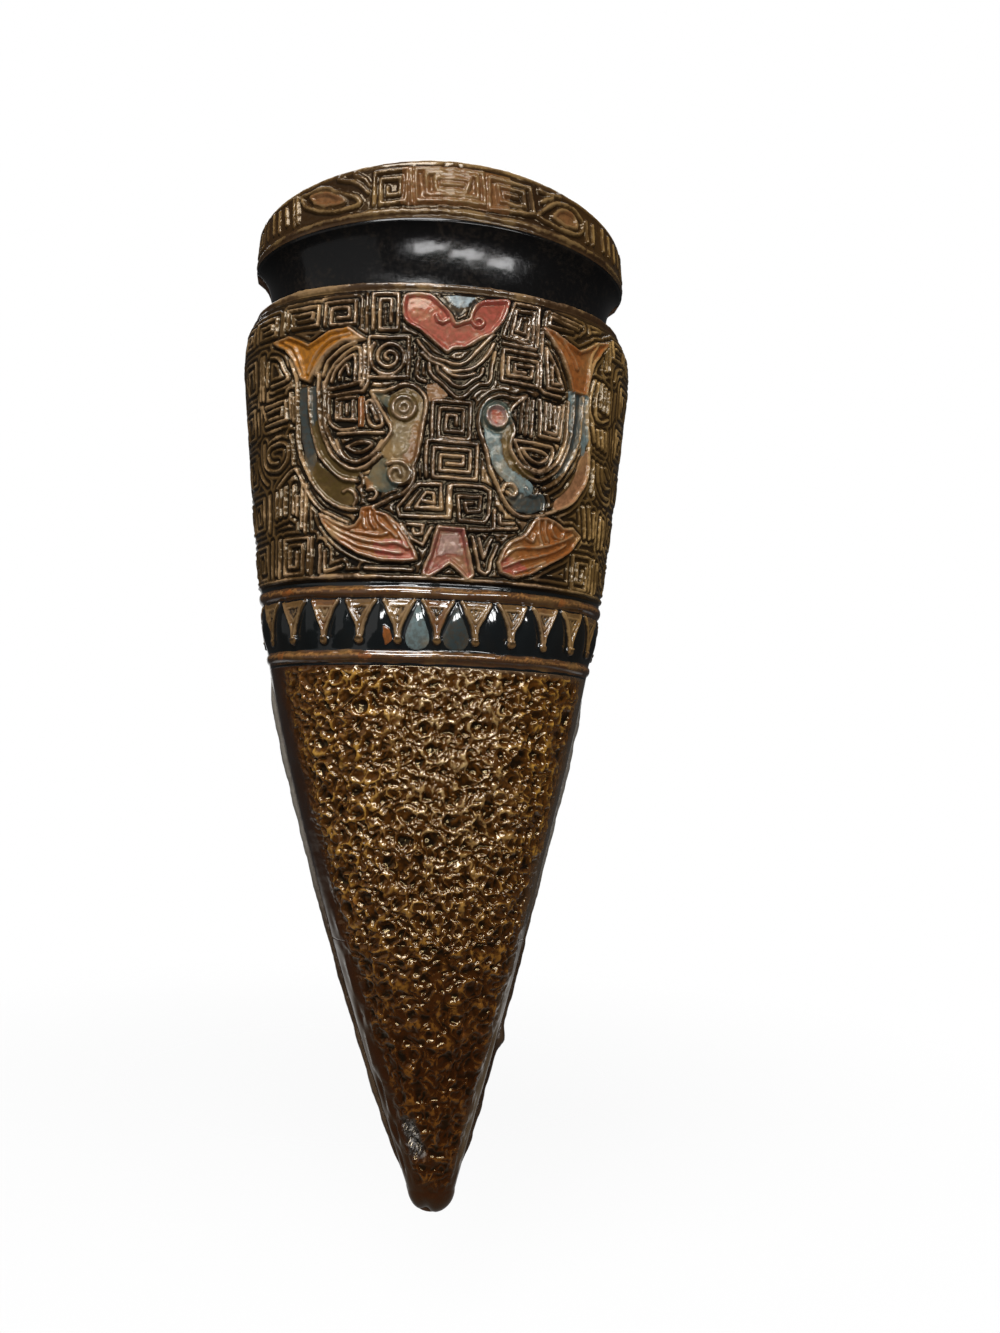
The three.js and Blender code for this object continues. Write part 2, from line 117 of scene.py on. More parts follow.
def wallPoint(reach, height, inset):
    turn, width = turnAt(reach), halfWidth(height)
    return mm * np.stack(np.broadcast_arrays(
        sway(height) + (width - inset) * np.sin(turn),
        vase["seam"] - (vase["depth"] * width - inset) * np.cos(turn),
        height + crest(height) * np.cos(turn) ** 2 - vase["hole"],
    ), -1)


def gridNormals(points):
    across = np.gradient(points, axis=1)
    up = np.gradient(points, axis=0)
    normals = np.cross(across, up)
    return normals / np.maximum(np.linalg.norm(normals, axis=-1, keepdims=True), 1e-12)


def linkObject(name, mesh):
    made = bpy.data.objects.new(name, mesh)
    scene.collection.objects.link(made)
    return made


def setAttribute(mesh, name, kind, domain, values):
    field = {"FLOAT": "value", "BOOLEAN": "value", "FLOAT_VECTOR": "vector", "FLOAT_COLOR": "color"}[kind]
    made = mesh.attributes.new(name, kind, domain)
    made.data.foreach_set(field, np.ascontiguousarray(values).ravel())


# the inner face keeps every so many rows and columns; the relief lies flatter round the sides
pressing = {"innerRow": 10, "innerColumn": 8, "innerDrop": 3.0, "fineFront": 0.8,
            "flatSides": (0.62, 0.82), "flatShare": 0.5}


# a closed stretch of the pressed front: a fine outer face, a coarse inner one, and edges between them
def pressedWall(name, heights, reaches, press, insets=None, lift=None, innerTop=None, floor=None):
    insets = np.zeros_like(heights) if insets is None else insets
    rows, columns = len(heights), len(reaches)
    outer = wallPoint(reaches[None, :], heights[:, None], insets[:, None])
    normals = gridNormals(outer)
    if lift is not None:
        outer = outer + normals * (mm * lift(reaches[None, :], heights[:, None]))[..., None]
    outer[:, [0, -1], 1] = -mm * vase["slab"]
    firstRow = 0 if floor is None else int(np.argmax(heights >= floor))
    rowPicks = np.unique(np.append(np.arange(firstRow, rows, pressing["innerRow"]), rows - 1))
    columnPicks = np.unique(np.append(np.arange(0, columns, pressing["innerColumn"]), columns - 1))
    last, end = len(columnPicks) - 1, len(rowPicks) - 1
    innerHeights = heights[rowPicks]
    if innerTop is not None:
        low = innerTop - pressing["innerDrop"]
        innerHeights = np.minimum(innerHeights, np.linspace(low, innerTop, len(rowPicks)))
    inner = wallPoint(reaches[columnPicks][None, :], innerHeights[:, None], vase["wall"])
    inner[:, [0, -1], 1] = -mm * vase["slab"]
    faces, smooth, outside = [], [], []

    def at(i, j):
        return int(i) * columns + int(j)

    def within(p, q):
        return rows * columns + p * len(columnPicks) + q

    def addFaces(found, isSmooth, isOutside):
        faces.extend(found)
        smooth.extend([isSmooth] * len(found))
        outside.extend([isOutside] * len(found))

    corner = (np.arange(rows - 1)[:, None] * columns + np.arange(columns - 1)).ravel()
    addFaces(np.stack([corner, corner + 1, corner + columns + 1, corner + columns], 1).tolist(), True, True)
    addFaces([[within(p, q), within(p + 1, q), within(p + 1, q + 1), within(p, q + 1)]
              for p in range(end) for q in range(last)], True, False)
    edges = []
    for q, (a, b) in enumerate(zip(columnPicks, columnPicks[1:])):
        edges.append([at(rows - 1, j) for j in range(a, b + 1)] + [within(end, q + 1), within(end, q)])
        if floor is None:
            edges.append([at(0, j) for j in range(b, a - 1, -1)] + [within(0, q), within(0, q + 1)])
    for p, (a, b) in enumerate(zip(rowPicks, rowPicks[1:])):
        edges.append([at(i, 0) for i in range(a, b + 1)] + [within(p + 1, 0), within(p, 0)])
        edges.append([at(i, columns - 1) for i in range(b, a - 1, -1)]
                     + [within(p, last), within(p + 1, last)])
    if floor is not None:  # below the pocket's floor the wall is solid
        edges.append([within(0, q) for q in range(last + 1)])
        edges.append([at(0, j) for j in range(columns - 1, -1, -1)])
        left = [at(i, 0) for i in range(firstRow + 1)]
        right = [at(i, columns - 1) for i in range(firstRow, -1, -1)]
        edges.append(left + [within(0, 0), within(0, last)] + right)
    addFaces(edges, False, False)
    mesh = bpy.data.meshes.new(name)
    mesh.from_pydata(np.vstack([outer.reshape(-1, 3), inner.reshape(-1, 3)]).tolist(), [], faces)
    blank = np.zeros((inner.shape[0] * inner.shape[1], 3))
    arc = reaches[None, :] * halfWidth(heights)[:, None]
    flat = np.stack(np.broadcast_arrays(arc, heights[:, None], 0.0), -1)
    sides = [share * quarter for share in pressing["flatSides"]]
    weight = press[:, None] * np.interp(np.abs(reaches), sides, [1.0, pressing["flatShare"]])[None, :]
    weight[:, [0, -1]] = 0
    setAttribute(mesh, "flat", "FLOAT_VECTOR", "POINT", np.vstack([flat.reshape(-1, 3), blank]))
    setAttribute(mesh, "wallNormal", "FLOAT_VECTOR", "POINT", np.vstack([normals.reshape(-1, 3), blank]))
    setAttribute(mesh, "press", "FLOAT", "POINT", np.concatenate([weight.ravel(), blank[:, 0]]))
    setAttribute(mesh, "outerFace", "BOOLEAN", "FACE", np.array(outside))
    mesh.polygons.foreach_set("use_smooth", smooth)
    mesh.update()
    return linkObject(name, mesh)


# columns close together at the front, wider apart round the sides
def columnsFor(settings):
    turnIn = pressing["fineFront"] * quarter
    middle = np.linspace(-turnIn, turnIn, 2 * int(turnIn * settings["width"] / settings["fine"]) + 1)
    count = int((quarter - turnIn) * settings["width"] / settings["coarse"])
    side = np.linspace(turnIn, quarter, count + 1)[1:]
    return np.concatenate([-side[::-1], middle, side])


def rowsFor(low, high, step):
    return np.linspace(low, high, int((high - low) / step))


# node helpers, for geometry and for materials; a word for an input is its kind, a number its usual value
def newTree(name, kind, inputs, outputs):
    tree = bpy.data.node_groups.new(name, kind)
    for label, value in inputs.items():
        word = value if isinstance(value, str) else {float: "Float", int: "Int", tuple: "Color"}[type(value)]
        made = tree.interface.new_socket(label, in_out="INPUT", socket_type="NodeSocket" + word)
        if not isinstance(value, str):
            made.default_value = value
    for label, word in outputs.items():
        tree.interface.new_socket(label, in_out="OUTPUT", socket_type="NodeSocket" + word)
    return tree, tree.nodes.new("NodeGroupInput").outputs, tree.nodes.new("NodeGroupOutput").inputs


def feed(tree, socket, value):
    if isinstance(value, bpy.types.NodeSocket):
        tree.links.new(value, socket)
    else:
        socket.default_value = value


def addNode(tree, kind, feeds, **settings):
    made = tree.nodes.new(kind)
    for name, value in settings.items():
        setattr(made, name, value)
    for label, value in feeds.items():
        feed(tree, made.inputs[label], value)
    return made


def sums(tree, operation, a, b=0.0, c=0.0, clamp=False):
    feeds = {0: a, 1: b, 2: c}
    return addNode(tree, "ShaderNodeMath", feeds, operation=operation, use_clamp=clamp).outputs[0]


def times(tree, a, b):
    return sums(tree, "MULTIPLY", a, b)


def plus(tree, a, b):
    return sums(tree, "ADD", a, b)


def minus(tree, a, b):
    return sums(tree, "SUBTRACT", a, b)


def most(tree, a, b):
    return sums(tree, "MAXIMUM", a, b)


def vectors(tree, operation, a, b):
    made = addNode(tree, "ShaderNodeVectorMath", {0: a}, operation=operation)
    feed(tree, made.inputs["Scale" if operation == "SCALE" else 1], b)
    return made.outputs[0]


def parted(tree, vector):
    return addNode(tree, "ShaderNodeSeparateXYZ", {0: vector}).outputs


def eased(tree, value, start, full, low=0.0, high=1.0):
    feeds = {0: value, 1: start, 2: full, 3: low, 4: high}
    return addNode(tree, "ShaderNodeMapRange", feeds, interpolation_type="SMOOTHSTEP").outputs[0]


def noise(tree, vector, scale, detail, rough=0.5):
    feeds = {"Vector": vector, "Scale": scale, "Detail": detail, "Roughness": rough}
    return addNode(tree, "ShaderNodeTexNoise", feeds).outputs


def waves(tree, vector, scale, detail):  # noise to both sides of zero
    return minus(tree, noise(tree, vector, scale, detail)[0], 0.5)


def drifting(tree, vector, scale, detail):  # the same in every direction
    return vectors(tree, "SUBTRACT", noise(tree, vector, scale, detail)[1], (0.5, 0.5, 0.5))


def blended(tree, amount, a, b):
    return addNode(tree, "ShaderNodeMix", {0: amount, 6: a, 7: b}, data_type="RGBA").outputs[2]


def readAttribute(tree, name, kind):
    return addNode(tree, "GeometryNodeInputNamedAttribute", {"Name": name}, data_type=kind).outputs[0]


def storeAttribute(tree, geometry, name, kind, value):
    feeds = {"Geometry": geometry, "Name": name, "Value": value}
    return addNode(tree, "GeometryNodeStoreNamedAttribute", feeds, data_type=kind, domain="POINT").outputs[0]


def seededPlace(tree, place, seed, axis="Z"):
    return vectors(tree, "ADD", place, addNode(tree, "ShaderNodeCombineXYZ", {axis: seed}).outputs[0])


def placeInMm(tree):
    return vectors(tree, "SCALE", addNode(tree, "GeometryNodeInputPosition", {}).outputs[0], 1 / mm)


# the end of a wall's tree: the outer face rises by so many mm, and both faces get their finish
def raised(tree, body, rise, given, outlet):
    weight = times(tree, readAttribute(tree, "press", "FLOAT"), mm)
    normal = readAttribute(tree, "wallNormal", "FLOAT_VECTOR")
    offset = vectors(tree, "SCALE", normal, times(tree, rise, weight))
    body = addNode(tree, "GeometryNodeSetPosition", {"Geometry": body, "Offset": offset}).outputs[0]
    body = addNode(tree, "GeometryNodeRealizeInstances", {0: body}).outputs[0]
    body = addNode(tree, "GeometryNodeSetMaterial", {0: body, "Material": given["Inside"]}).outputs[0]
    outer = readAttribute(tree, "outerFace", "BOOLEAN")
    feeds = {0: body, "Selection": outer, "Material": given["Outside"]}
    tree.links.new(addNode(tree, "GeometryNodeSetMaterial", feeds).outputs[0], outlet[0])


# swaps a piece's mesh for what its modifier makes of it
def settleModifier(piece):
    graph = bpy.context.evaluated_depsgraph_get()
    made = piece.evaluated_get(graph)
    mesh = bpy.data.meshes.new_from_object(made, preserve_all_data_layers=True, depsgraph=graph)
    piece.modifiers.clear()
    mesh.name = piece.name
    old, piece.data = piece.data, mesh
    bpy.data.meshes.remove(old)


# runs a tree on a piece and keeps the result as its plain mesh
def settle(piece, tree, values):
    modifier = piece.modifiers.new("make", "NODES")
    modifier.node_group = tree
    for item in tree.interface.items_tree:
        if item.in_out == "INPUT" and item.name in values:
            modifier[item.identifier] = values[item.name]
    settleModifier(piece)
    return piece


# relief pressed from drawn lines and painted pads, flat, arc against height in mm; noises by scale and detail
moulding = {
    "drift": (0.3, 2.0), "driftWays": (2, 2, 0), "ridge": (0.8, 2.0), "ridgeWidth": (0.7, 0.65),
    "ridgeFlat": 0.12, "echoFade": 0.8, "smear": (0.9, 3.0), "smearWays": (1.4, 1.4, 0),
    "worn": (0.22, 3.0), "wornHeight": (0.5, 0.75), "lumps": (0.8, 1.5), "onPads": 0.6,
}


def moulderTree():
    tree, given, outlet = newTree("pressed relief", "GeometryNodeTree", {
        "Geometry": "Geometry", "Bold Lines": "Object", "Fine Lines": "Object", "Pads": "Object",
        "Bold Width": 0.55, "Bold Height": 0.75, "Fine Width": 0.42, "Fine Height": 0.6,
        "Pad Edge": 0.35, "Pad Height": 0.4, "Echo": 0.0, "Echo Pitch": 1.25, "Echo Top": 165.0,
        "Wander": 0.4, "Unevenness": 0.12, "Seed": 3.0, "Outside": "Material", "Inside": "Material",
    }, {"Geometry": "Geometry"})
    flat = readAttribute(tree, "flat", "FLOAT_VECTOR")
    seeded = seededPlace(tree, flat, given["Seed"])
    drift = vectors(tree, "SCALE", drifting(tree, seeded, *moulding["drift"]), given["Wander"])
    drawn = vectors(tree, "ADD", flat, vectors(tree, "MULTIPLY", drift, moulding["driftWays"]))

    def distanceTo(label, element):
        target = addNode(tree, "GeometryNodeObjectInfo", {"Object": given[label]}).outputs["Geometry"]
        feeds = {"Geometry": target, "Sample Position": drawn}
        near = addNode(tree, "GeometryNodeProximity", feeds, target_element=element)
        return target, near.outputs["Distance"]

    def ridge(distance, width):
        uneven = noise(tree, seeded, *moulding["ridge"])[0]
        wide = times(tree, width, sums(tree, "MULTIPLY_ADD", uneven, *moulding["ridgeWidth"]))
        return eased(tree, distance, wide, times(tree, wide, moulding["ridgeFlat"]))

    toBold, toFine = distanceTo("Bold Lines", "EDGES")[1], distanceTo("Fine Lines", "EDGES")[1]
    pads, toPad = distanceTo("Pads", "FACES")
    pad = eased(tree, toPad, given["Pad Edge"], 0.0)
    bold = ridge(toBold, given["Bold Width"])
    # the bare ground between the drawn lines fills with lines that follow them
    toLine = sums(tree, "MINIMUM", toBold, toFine)
    toEcho = sums(tree, "PINGPONG", toLine, times(tree, given["Echo Pitch"], 0.5))
    fadeOut = minus(tree, given["Echo Top"], moulding["echoFade"])
    below = eased(tree, parted(tree, flat)[1], given["Echo Top"], fadeOut)
    free = times(tree, below, minus(tree, 1.0, pad))
    echo = times(tree, ridge(toEcho, given["Fine Width"]), times(tree, free, given["Echo"]))
    fine = most(tree, ridge(toFine, given["Fine Width"]), echo)
    smear = vectors(tree, "MULTIPLY", drifting(tree, seeded, *moulding["smear"]), moulding["smearWays"])
    colour = addNode(tree, "GeometryNodeSampleNearestSurface", {
        "Mesh": pads, "Value": readAttribute(tree, "paint", "FLOAT_COLOR"),
        "Sample Position": vectors(tree, "ADD", drawn, smear),
    }, data_type="FLOAT_COLOR").outputs[0]
    swell = addNode(tree, "FunctionNodeSeparateColor", {0: colour}).outputs["Alpha"]
    worn = sums(tree, "MULTIPLY_ADD", noise(tree, seeded, *moulding["worn"])[0], *moulding["wornHeight"])
    lines = most(tree, times(tree, bold, given["Bold Height"]), times(tree, fine, given["Fine Height"]))
    lines = times(tree, lines, worn)
    ground = times(tree, times(tree, pad, swell), given["Pad Height"])
    lumps = times(tree, waves(tree, seeded, *moulding["lumps"]), given["Unevenness"])
    onPads = sums(tree, "MULTIPLY_ADD", lines, moulding["onPads"], ground)
    rise = plus(tree, most(tree, lines, onPads), lumps)
    body = storeAttribute(tree, given["Geometry"], "ridge", "FLOAT", most(tree, bold, fine))
    body = storeAttribute(tree, body, "pad", "FLOAT", pad)
    body = storeAttribute(tree, body, "paint", "FLOAT_COLOR", colour)
    raised(tree, body, rise, given, outlet)
    return tree


# the stippled cone: craters with raised rims among crinkles, dying out at the seams, the bead and the tip
stippling = {
    "drift": (0.35, 1.0), "scatter": 0.9, "chosen": (0.4, 0.5), "pitRadius": (0.22, 0.26), "rimWidth": 0.13,
    "bowlWidth": 0.2, "bowlCalm": 0.5, "crinkles": ((0.36, 0.085), (0.56, 0.08)), "crinkleDetail": 0.6,
    "ragged": (0.35, 3.0), "raggedReach": (5.0, -2.5), "leftFade": 5.0, "rightFade": 6.0,
    "lumps": (0.6, 1.5), "lumpHeight": 1.1, "lumpMargin": 0.15, "sink": 0.2, "wornHeights": (18.0, 72.0),
}


def stippleTree():
    tree, given, outlet = newTree("stippled clay", "GeometryNodeTree", {
        "Geometry": "Geometry", "Pit Size": 3.2, "Rim Height": 0.6, "Pit Depth": 0.5, "Wander": 1.2,
        "Crinkle": 0.5, "Left Margin": 8.0, "Right Margin": 3.0, "Worn": 0.4, "Seed": 7.0,
        "Outside": "Material", "Inside": "Material",
    }, {"Geometry": "Geometry"})
    flat = readAttribute(tree, "flat", "FLOAT_VECTOR")
    seeded = seededPlace(tree, flat, given["Seed"])
    wander = times(tree, given["Wander"], 2.0)
    drift = vectors(tree, "SCALE", drifting(tree, seeded, *stippling["drift"]), wander)
    drawn = vectors(tree, "ADD", seeded, drift)

    scale = sums(tree, "DIVIDE", 1.0, given["Pit Size"])
    feeds = {"Vector": drawn, "Scale": scale, "Randomness": stippling["scatter"]}
    cell = addNode(tree, "ShaderNodeTexVoronoi", feeds, feature="F1", voronoi_dimensions="2D").outputs
    chance = addNode(tree, "FunctionNodeSeparateColor", {0: cell["Color"]}).outputs
    chosen = eased(tree, chance["Green"], *stippling["chosen"])
    away = minus(tree, cell["Distance"], sums(tree, "MULTIPLY_ADD", chance["Red"], *stippling["pitRadius"]))
    rim = times(tree, chosen, eased(tree, sums(tree, "ABSOLUTE", away), stippling["rimWidth"], 0.0))
    bowl = times(tree, chosen, eased(tree, away, 0.0, -stippling["bowlWidth"]))

    def crinkles(scale, thin):
        wave = waves(tree, drawn, scale, stippling["crinkleDetail"])
        return eased(tree, sums(tree, "ABSOLUTE", wave), thin, 0.0)

    crinkle = most(tree, *(crinkles(*size) for size in stippling["crinkles"]))
    crinkle = times(tree, crinkle, sums(tree, "MULTIPLY_ADD", bowl, -stippling["bowlCalm"], 1.0))
    leftGap, rightGap, inside = parted(tree, readAttribute(tree, "seamGap", "FLOAT_VECTOR"))
    ragged = noise(tree, seeded, *stippling["ragged"])[0]
    ragged = sums(tree, "MULTIPLY_ADD", ragged, *stippling["raggedReach"])

    def inFrom(gap, margin, fade):
        return eased(tree, plus(tree, gap, ragged), margin, plus(tree, margin, fade))

    inField = times(tree, inFrom(leftGap, given["Left Margin"], stippling["leftFade"]),
                    inFrom(rightGap, given["Right Margin"], stippling["rightFade"]))
    inField = times(tree, inField, inside)
    lumps = waves(tree, seeded, *stippling["lumps"])
    proud = most(tree, times(tree, rim, given["Rim Height"]), times(tree, crinkle, given["Crinkle"]))
    proud = minus(tree, proud, stippling["sink"])
    rise = sums(tree, "MULTIPLY_ADD", bowl, times(tree, given["Pit Depth"], -1.0), proud)
    worn = eased(tree, parted(tree, flat)[1], *stippling["wornHeights"], given["Worn"], 1.0)
    stipple = sums(tree, "MULTIPLY_ADD", lumps, stippling["lumpHeight"], rise)
    slow = times(tree, lumps, stippling["lumpMargin"])
    rise = sums(tree, "MULTIPLY_ADD", stipple, times(tree, inField, worn), slow)
    body = storeAttribute(tree, given["Geometry"], "rise", "FLOAT", times(tree, stipple, inField))
    body = storeAttribute(tree, body, "field", "FLOAT", inField)
    raised(tree, body, rise, given, outlet)
    return tree


# a surface smoothed by hand: only slow waves and small dents
smoothing = {"slow": (0.06, 2.0), "quick": (0.5, 3.0)}


def handTree():
    tree, given, outlet = newTree("hand smoothed", "GeometryNodeTree", {
        "Geometry": "Geometry", "Wave": 0.25, "Dent": 0.06, "Seed": 5.0,
        "Outside": "Material", "Inside": "Material",
    }, {"Geometry": "Geometry"})
    place = seededPlace(tree, placeInMm(tree), given["Seed"])
    slow = times(tree, waves(tree, place, *smoothing["slow"]), given["Wave"])
    quick = times(tree, waves(tree, place, *smoothing["quick"]), given["Dent"])
    raised(tree, given["Geometry"], plus(tree, slow, quick), given, outlet)
    return tree


# clay squeezed along a path: an uneven rod
rodDetail = 3.0


def rodTree():
    tree, given, outlet = newTree("squeezed clay", "GeometryNodeTree", {
        "Geometry": "Geometry", "Radius": 1.0, "Uneven": 0.5, "Grain": 0.2, "Sides": 12, "Seed": 2.0,
        "Outside": "Material",
    }, {"Geometry": "Geometry"})
    curve = addNode(tree, "GeometryNodeMeshToCurve", {0: given["Geometry"]}).outputs[0]
    place = seededPlace(tree, placeInMm(tree), given["Seed"], "X")
    swell = waves(tree, place, given["Grain"], rodDetail)
    swell = sums(tree, "MULTIPLY_ADD", swell, times(tree, given["Uneven"], 2.0), 1.0)
    swell = times(tree, swell, readAttribute(tree, "taper", "FLOAT"))
    radius = times(tree, times(tree, given["Radius"], mm), swell)
    section = addNode(tree, "GeometryNodeCurvePrimitiveCircle", {"Resolution": given["Sides"], "Radius": 1.0})
    rod = addNode(tree, "GeometryNodeCurveToMesh", {
        "Curve": curve, "Profile Curve": section.outputs[0], "Scale": radius, "Fill Caps": True}).outputs[0]
    rod = addNode(tree, "GeometryNodeSetShadeSmooth", {0: rod}).outputs[0]
    rod = addNode(tree, "GeometryNodeRealizeInstances", {0: rod}).outputs[0]
    rod = addNode(tree, "GeometryNodeSetMaterial", {0: rod, "Material": given["Outside"]}).outputs[0]
    tree.links.new(rod, outlet[0])
    return tree


moulder, stippler, smoother, squeezer = moulderTree(), stippleTree(), handTree(), rodTree()
print("trees ready")


# effects shared by the finishes
grainLook = {"details": {"Cloud": 4.0, "Fleck": 5.0}, "rough": 0.6}
grimeAndShadePatches = (0.3, 0.7, 0.5, 1.0)


def grainGroup():
    tree, given, outlet = newTree("lacquer grain", "ShaderNodeTree", {"Cloud Size": 12.0, "Fleck Size": 1.2},
                                  {"Cloud": "Float", "Fleck": "Float"})
    place = vectors(tree, "SCALE", addNode(tree, "ShaderNodeTexCoord", {}).outputs["Object"], 1 / mm)
    for label, detail in grainLook["details"].items():
        scale = sums(tree, "DIVIDE", 1.0, given[label + " Size"])
        tree.links.new(noise(tree, place, scale, detail, grainLook["rough"])[0], outlet[label])
    return tree


def rubbedGroup():
    tree, given, outlet = newTree("rubbed tops", "ShaderNodeTree", {
        "Height": 0.0, "Start": 0.3, "Full": 0.7, "Patch": 0.5, "Patchiness": 0.5,
    }, {"Mask": "Float"})
    spread = times(tree, minus(tree, given["Patch"], 0.5), given["Patchiness"])
    mask = eased(tree, plus(tree, given["Height"], spread), given["Start"], given["Full"])
    tree.links.new(mask, outlet["Mask"])
    return tree


# darkens a colour in patches where Depth is high: real grime on the plain clay, painted shade in the relief's
# creases and the cone's pits
def grimeAndShadeGroup():
    tree, given, outlet = newTree("settled grime", "ShaderNodeTree", {
        "Color": (0.5, 0.5, 0.5, 1.0), "Grime": (0.01, 0.007, 0.005, 1.0),
        "Depth": 0.0, "Patch": 0.5, "Amount": 0.6,
    }, {"Color": "Color"})
    patch = eased(tree, given["Patch"], *grimeAndShadePatches)
    amount = sums(tree, "MULTIPLY", times(tree, given["Depth"], patch), given["Amount"], clamp=True)
    tree.links.new(blended(tree, amount, given["Color"], given["Grime"]), outlet["Color"])
    return tree


grainTree, rubbedTree, grimeAndShadeTree = grainGroup(), rubbedGroup(), grimeAndShadeGroup()


def placeGroup(tree, group, feeds):
    made = tree.nodes.new("ShaderNodeGroup")
    made.node_tree = group
    for label, value in feeds.items():
        feed(tree, made.inputs[label], value)
    return made.outputs


def newFinish(name, settings):
    finish = bpy.data.materials.new(name)
    finish.use_nodes = True
    tree = finish.node_tree
    shader = tree.nodes["Principled BSDF"]
    for socket, value in settings.items():
        shader.inputs[socket].default_value = value
    return finish, tree, shader


def attributeNode(tree, name):
    return addNode(tree, "ShaderNodeAttribute", {}, attribute_name=name).outputs


def bumped(tree, shader, height, strength, distance):
    feeds = {"Height": height, "Strength": strength, "Distance": distance * mm}
    tree.links.new(addNode(tree, "ShaderNodeBump", feeds).outputs[0], shader.inputs["Normal"])


# colours get their fourth value, numbers and spans stay
def toned(values):
    def isColour(value):
        return isinstance(value, tuple) and len(value) == 3
    return {name: (*value, 1.0) if isColour(value) else value for name, value in values.items()}


# spans run from where an effect starts to where it is full, then from its least to its most
reliefLook = {
    "coatRough": 0.08, "coatIor": 1.7, "fleck": 0.8, "patchiness": 1.3, "bumpDeep": 0.25, "frontMiddle": 2.0,
    "litRightFlank": (16.0, 31.0), "leftFlank": (-18.0, -36.0, 0.0, 0.5), "gilding": (0.48, 0.68, 0.0, 0.5),
    "painted": (0.35, 0.75), "agedFleck": (0.38, 0.62, 0.0, 0.45), "agedCloud": (0.48, 0.7, 0.0, 0.35),
    "slope": (0.08, 0.6), "proud": (0.06, 0.35), "edgeFoot": (0.0, 0.1), "edgeTop": (0.35, 0.15),
    "matt": (0.3, 0.7), "polish": (0.15, 0.8), "front": (12.0, 26.0, 1.0, 0.35),
}


# relief lacquer: dark ground, painted pads, brown slopes, crests rubbed to tan, painted shade at ridge feet,
# golden flanks partly painted light
def reliefFinish(name, tones):
    look = reliefLook
    finish, tree, shader = newFinish(name, {
        "Coat Roughness": look["coatRough"], "Coat IOR": look["coatIor"],
        "Specular IOR Level": tones["gloss"], "Specular Tint": tones["sheen"],
    })
    grain = placeGroup(tree, grainTree, {"Cloud Size": tones["cloud"], "Fleck Size": look["fleck"]})
    cloud, fleck = grain["Cloud"], grain["Fleck"]
    ridge, pad = attributeNode(tree, "ridge")["Fac"], attributeNode(tree, "pad")["Fac"]
    paint = attributeNode(tree, "paint")["Color"]
    arc = parted(tree, attributeNode(tree, "flat")["Vector"])[0]
    # golden towards the flanks: gilding, and on the right flank also painted light, fuller there because that
    # side was lit more
    flank = most(tree, eased(tree, arc, *look["litRightFlank"]), eased(tree, arc, *look["leftFlank"]))
    gildedAndLit = most(tree, flank, eased(tree, cloud, *look["gilding"]))
    painted = eased(tree, pad, *look["painted"])
    aged = blended(tree, eased(tree, fleck, *look["agedFleck"]), paint, tones["slope"])
    aged = blended(tree, eased(tree, cloud, *look["agedCloud"]), aged, tones["rubbedWarm"])
    ground = blended(tree, painted, blended(tree, gildedAndLit, tones["ground"], tones["groundWarm"]), aged)
    slope = blended(tree, painted, blended(tree, gildedAndLit, tones["slope"], tones["slopeWarm"]), aged)
    crest = blended(tree, gildedAndLit, tones["rubbed"], tones["rubbedWarm"])
    crest = blended(tree, times(tree, painted, tones["paintedTops"]), crest, aged)
    shown = blended(tree, eased(tree, ridge, *look["slope"]), ground, slope)
    worn = sums(tree, "MULTIPLY_ADD", minus(tree, cloud, 0.5), tones["uneven"], ridge)
    mask = placeGroup(tree, rubbedTree, {
        "Height": worn, "Start": tones["rubStart"], "Full": tones["rubFull"], "Patch": fleck,
        "Patchiness": look["patchiness"]})["Mask"]
    proud = most(tree, eased(tree, ridge, *look["proud"]), painted)  # the grooves keep their dark lacquer
    shown = blended(tree, times(tree, mask, proud), shown, crest)
    # painted shade: the colour darkens at the foot of every ridge, where it meets the groove
    edge = times(tree, eased(tree, ridge, *look["edgeFoot"]), eased(tree, ridge, *look["edgeTop"]))
    shown = placeGroup(tree, grimeAndShadeTree, {
        "Color": shown, "Depth": edge, "Patch": cloud, "Amount": tones["grimeAndShade"]})["Color"]
    tree.links.new(shown, shader.inputs["Base Color"])
    matt = eased(tree, fleck, *look["matt"], tones["smooth"], tones["rough"])
    matt = most(tree, matt, times(tree, painted, tones["padRough"]))
    tree.links.new(matt, shader.inputs["Roughness"])
    away = sums(tree, "ABSOLUTE", minus(tree, arc, look["frontMiddle"]))
    polish = eased(tree, ridge, *look["polish"], tones["dull"], tones["coat"])
    polish = times(tree, polish, eased(tree, away, *look["front"]))
    polish = most(tree, polish, times(tree, painted, tones["padCoat"]))
    tree.links.new(polish, shader.inputs["Coat Weight"])
    bumped(tree, shader, fleck, tones["bump"], look["bumpDeep"])
    return finish


ornamentTones = toned({
    "ground": (0.004, 0.003, 0.003), "groundWarm": (0.045, 0.024, 0.008),
    "slope": (0.07, 0.036, 0.014), "slopeWarm": (0.145, 0.082, 0.025),
    "rubbed": (0.38, 0.24, 0.14), "rubbedWarm": (0.42, 0.255, 0.092), "sheen": (1.0, 0.78, 0.48),
    "paintedTops": 0.35, "uneven": 3.0, "rubStart": 0.55, "rubFull": 1.2, "grimeAndShade": 0.4, "cloud": 7.0,
    "coat": 1.0, "padCoat": 0.14, "dull": 0.03, "gloss": 0.4, "padRough": 0.3,
    "smooth": 0.09, "rough": 0.22, "bump": 0.12,
})
rimTones = toned({
    "ground": (0.028, 0.0135, 0.0055), "groundWarm": (0.055, 0.027, 0.008),
    "slope": (0.07, 0.036, 0.0125), "slopeWarm": (0.1, 0.053, 0.016),
    "rubbed": (0.23, 0.14, 0.058), "rubbedWarm": (0.25, 0.15, 0.05), "sheen": (1.0, 0.75, 0.45),
    "paintedTops": 0.3, "uneven": 2.4, "rubStart": 0.55, "rubFull": 1.1, "grimeAndShade": 0.4, "cloud": 6.0,
    "coat": 0.4, "padCoat": 0.3, "dull": 0.1, "gloss": 0.4, "padRough": 0.25,
    "smooth": 0.1, "rough": 0.24, "bump": 0.12,
})
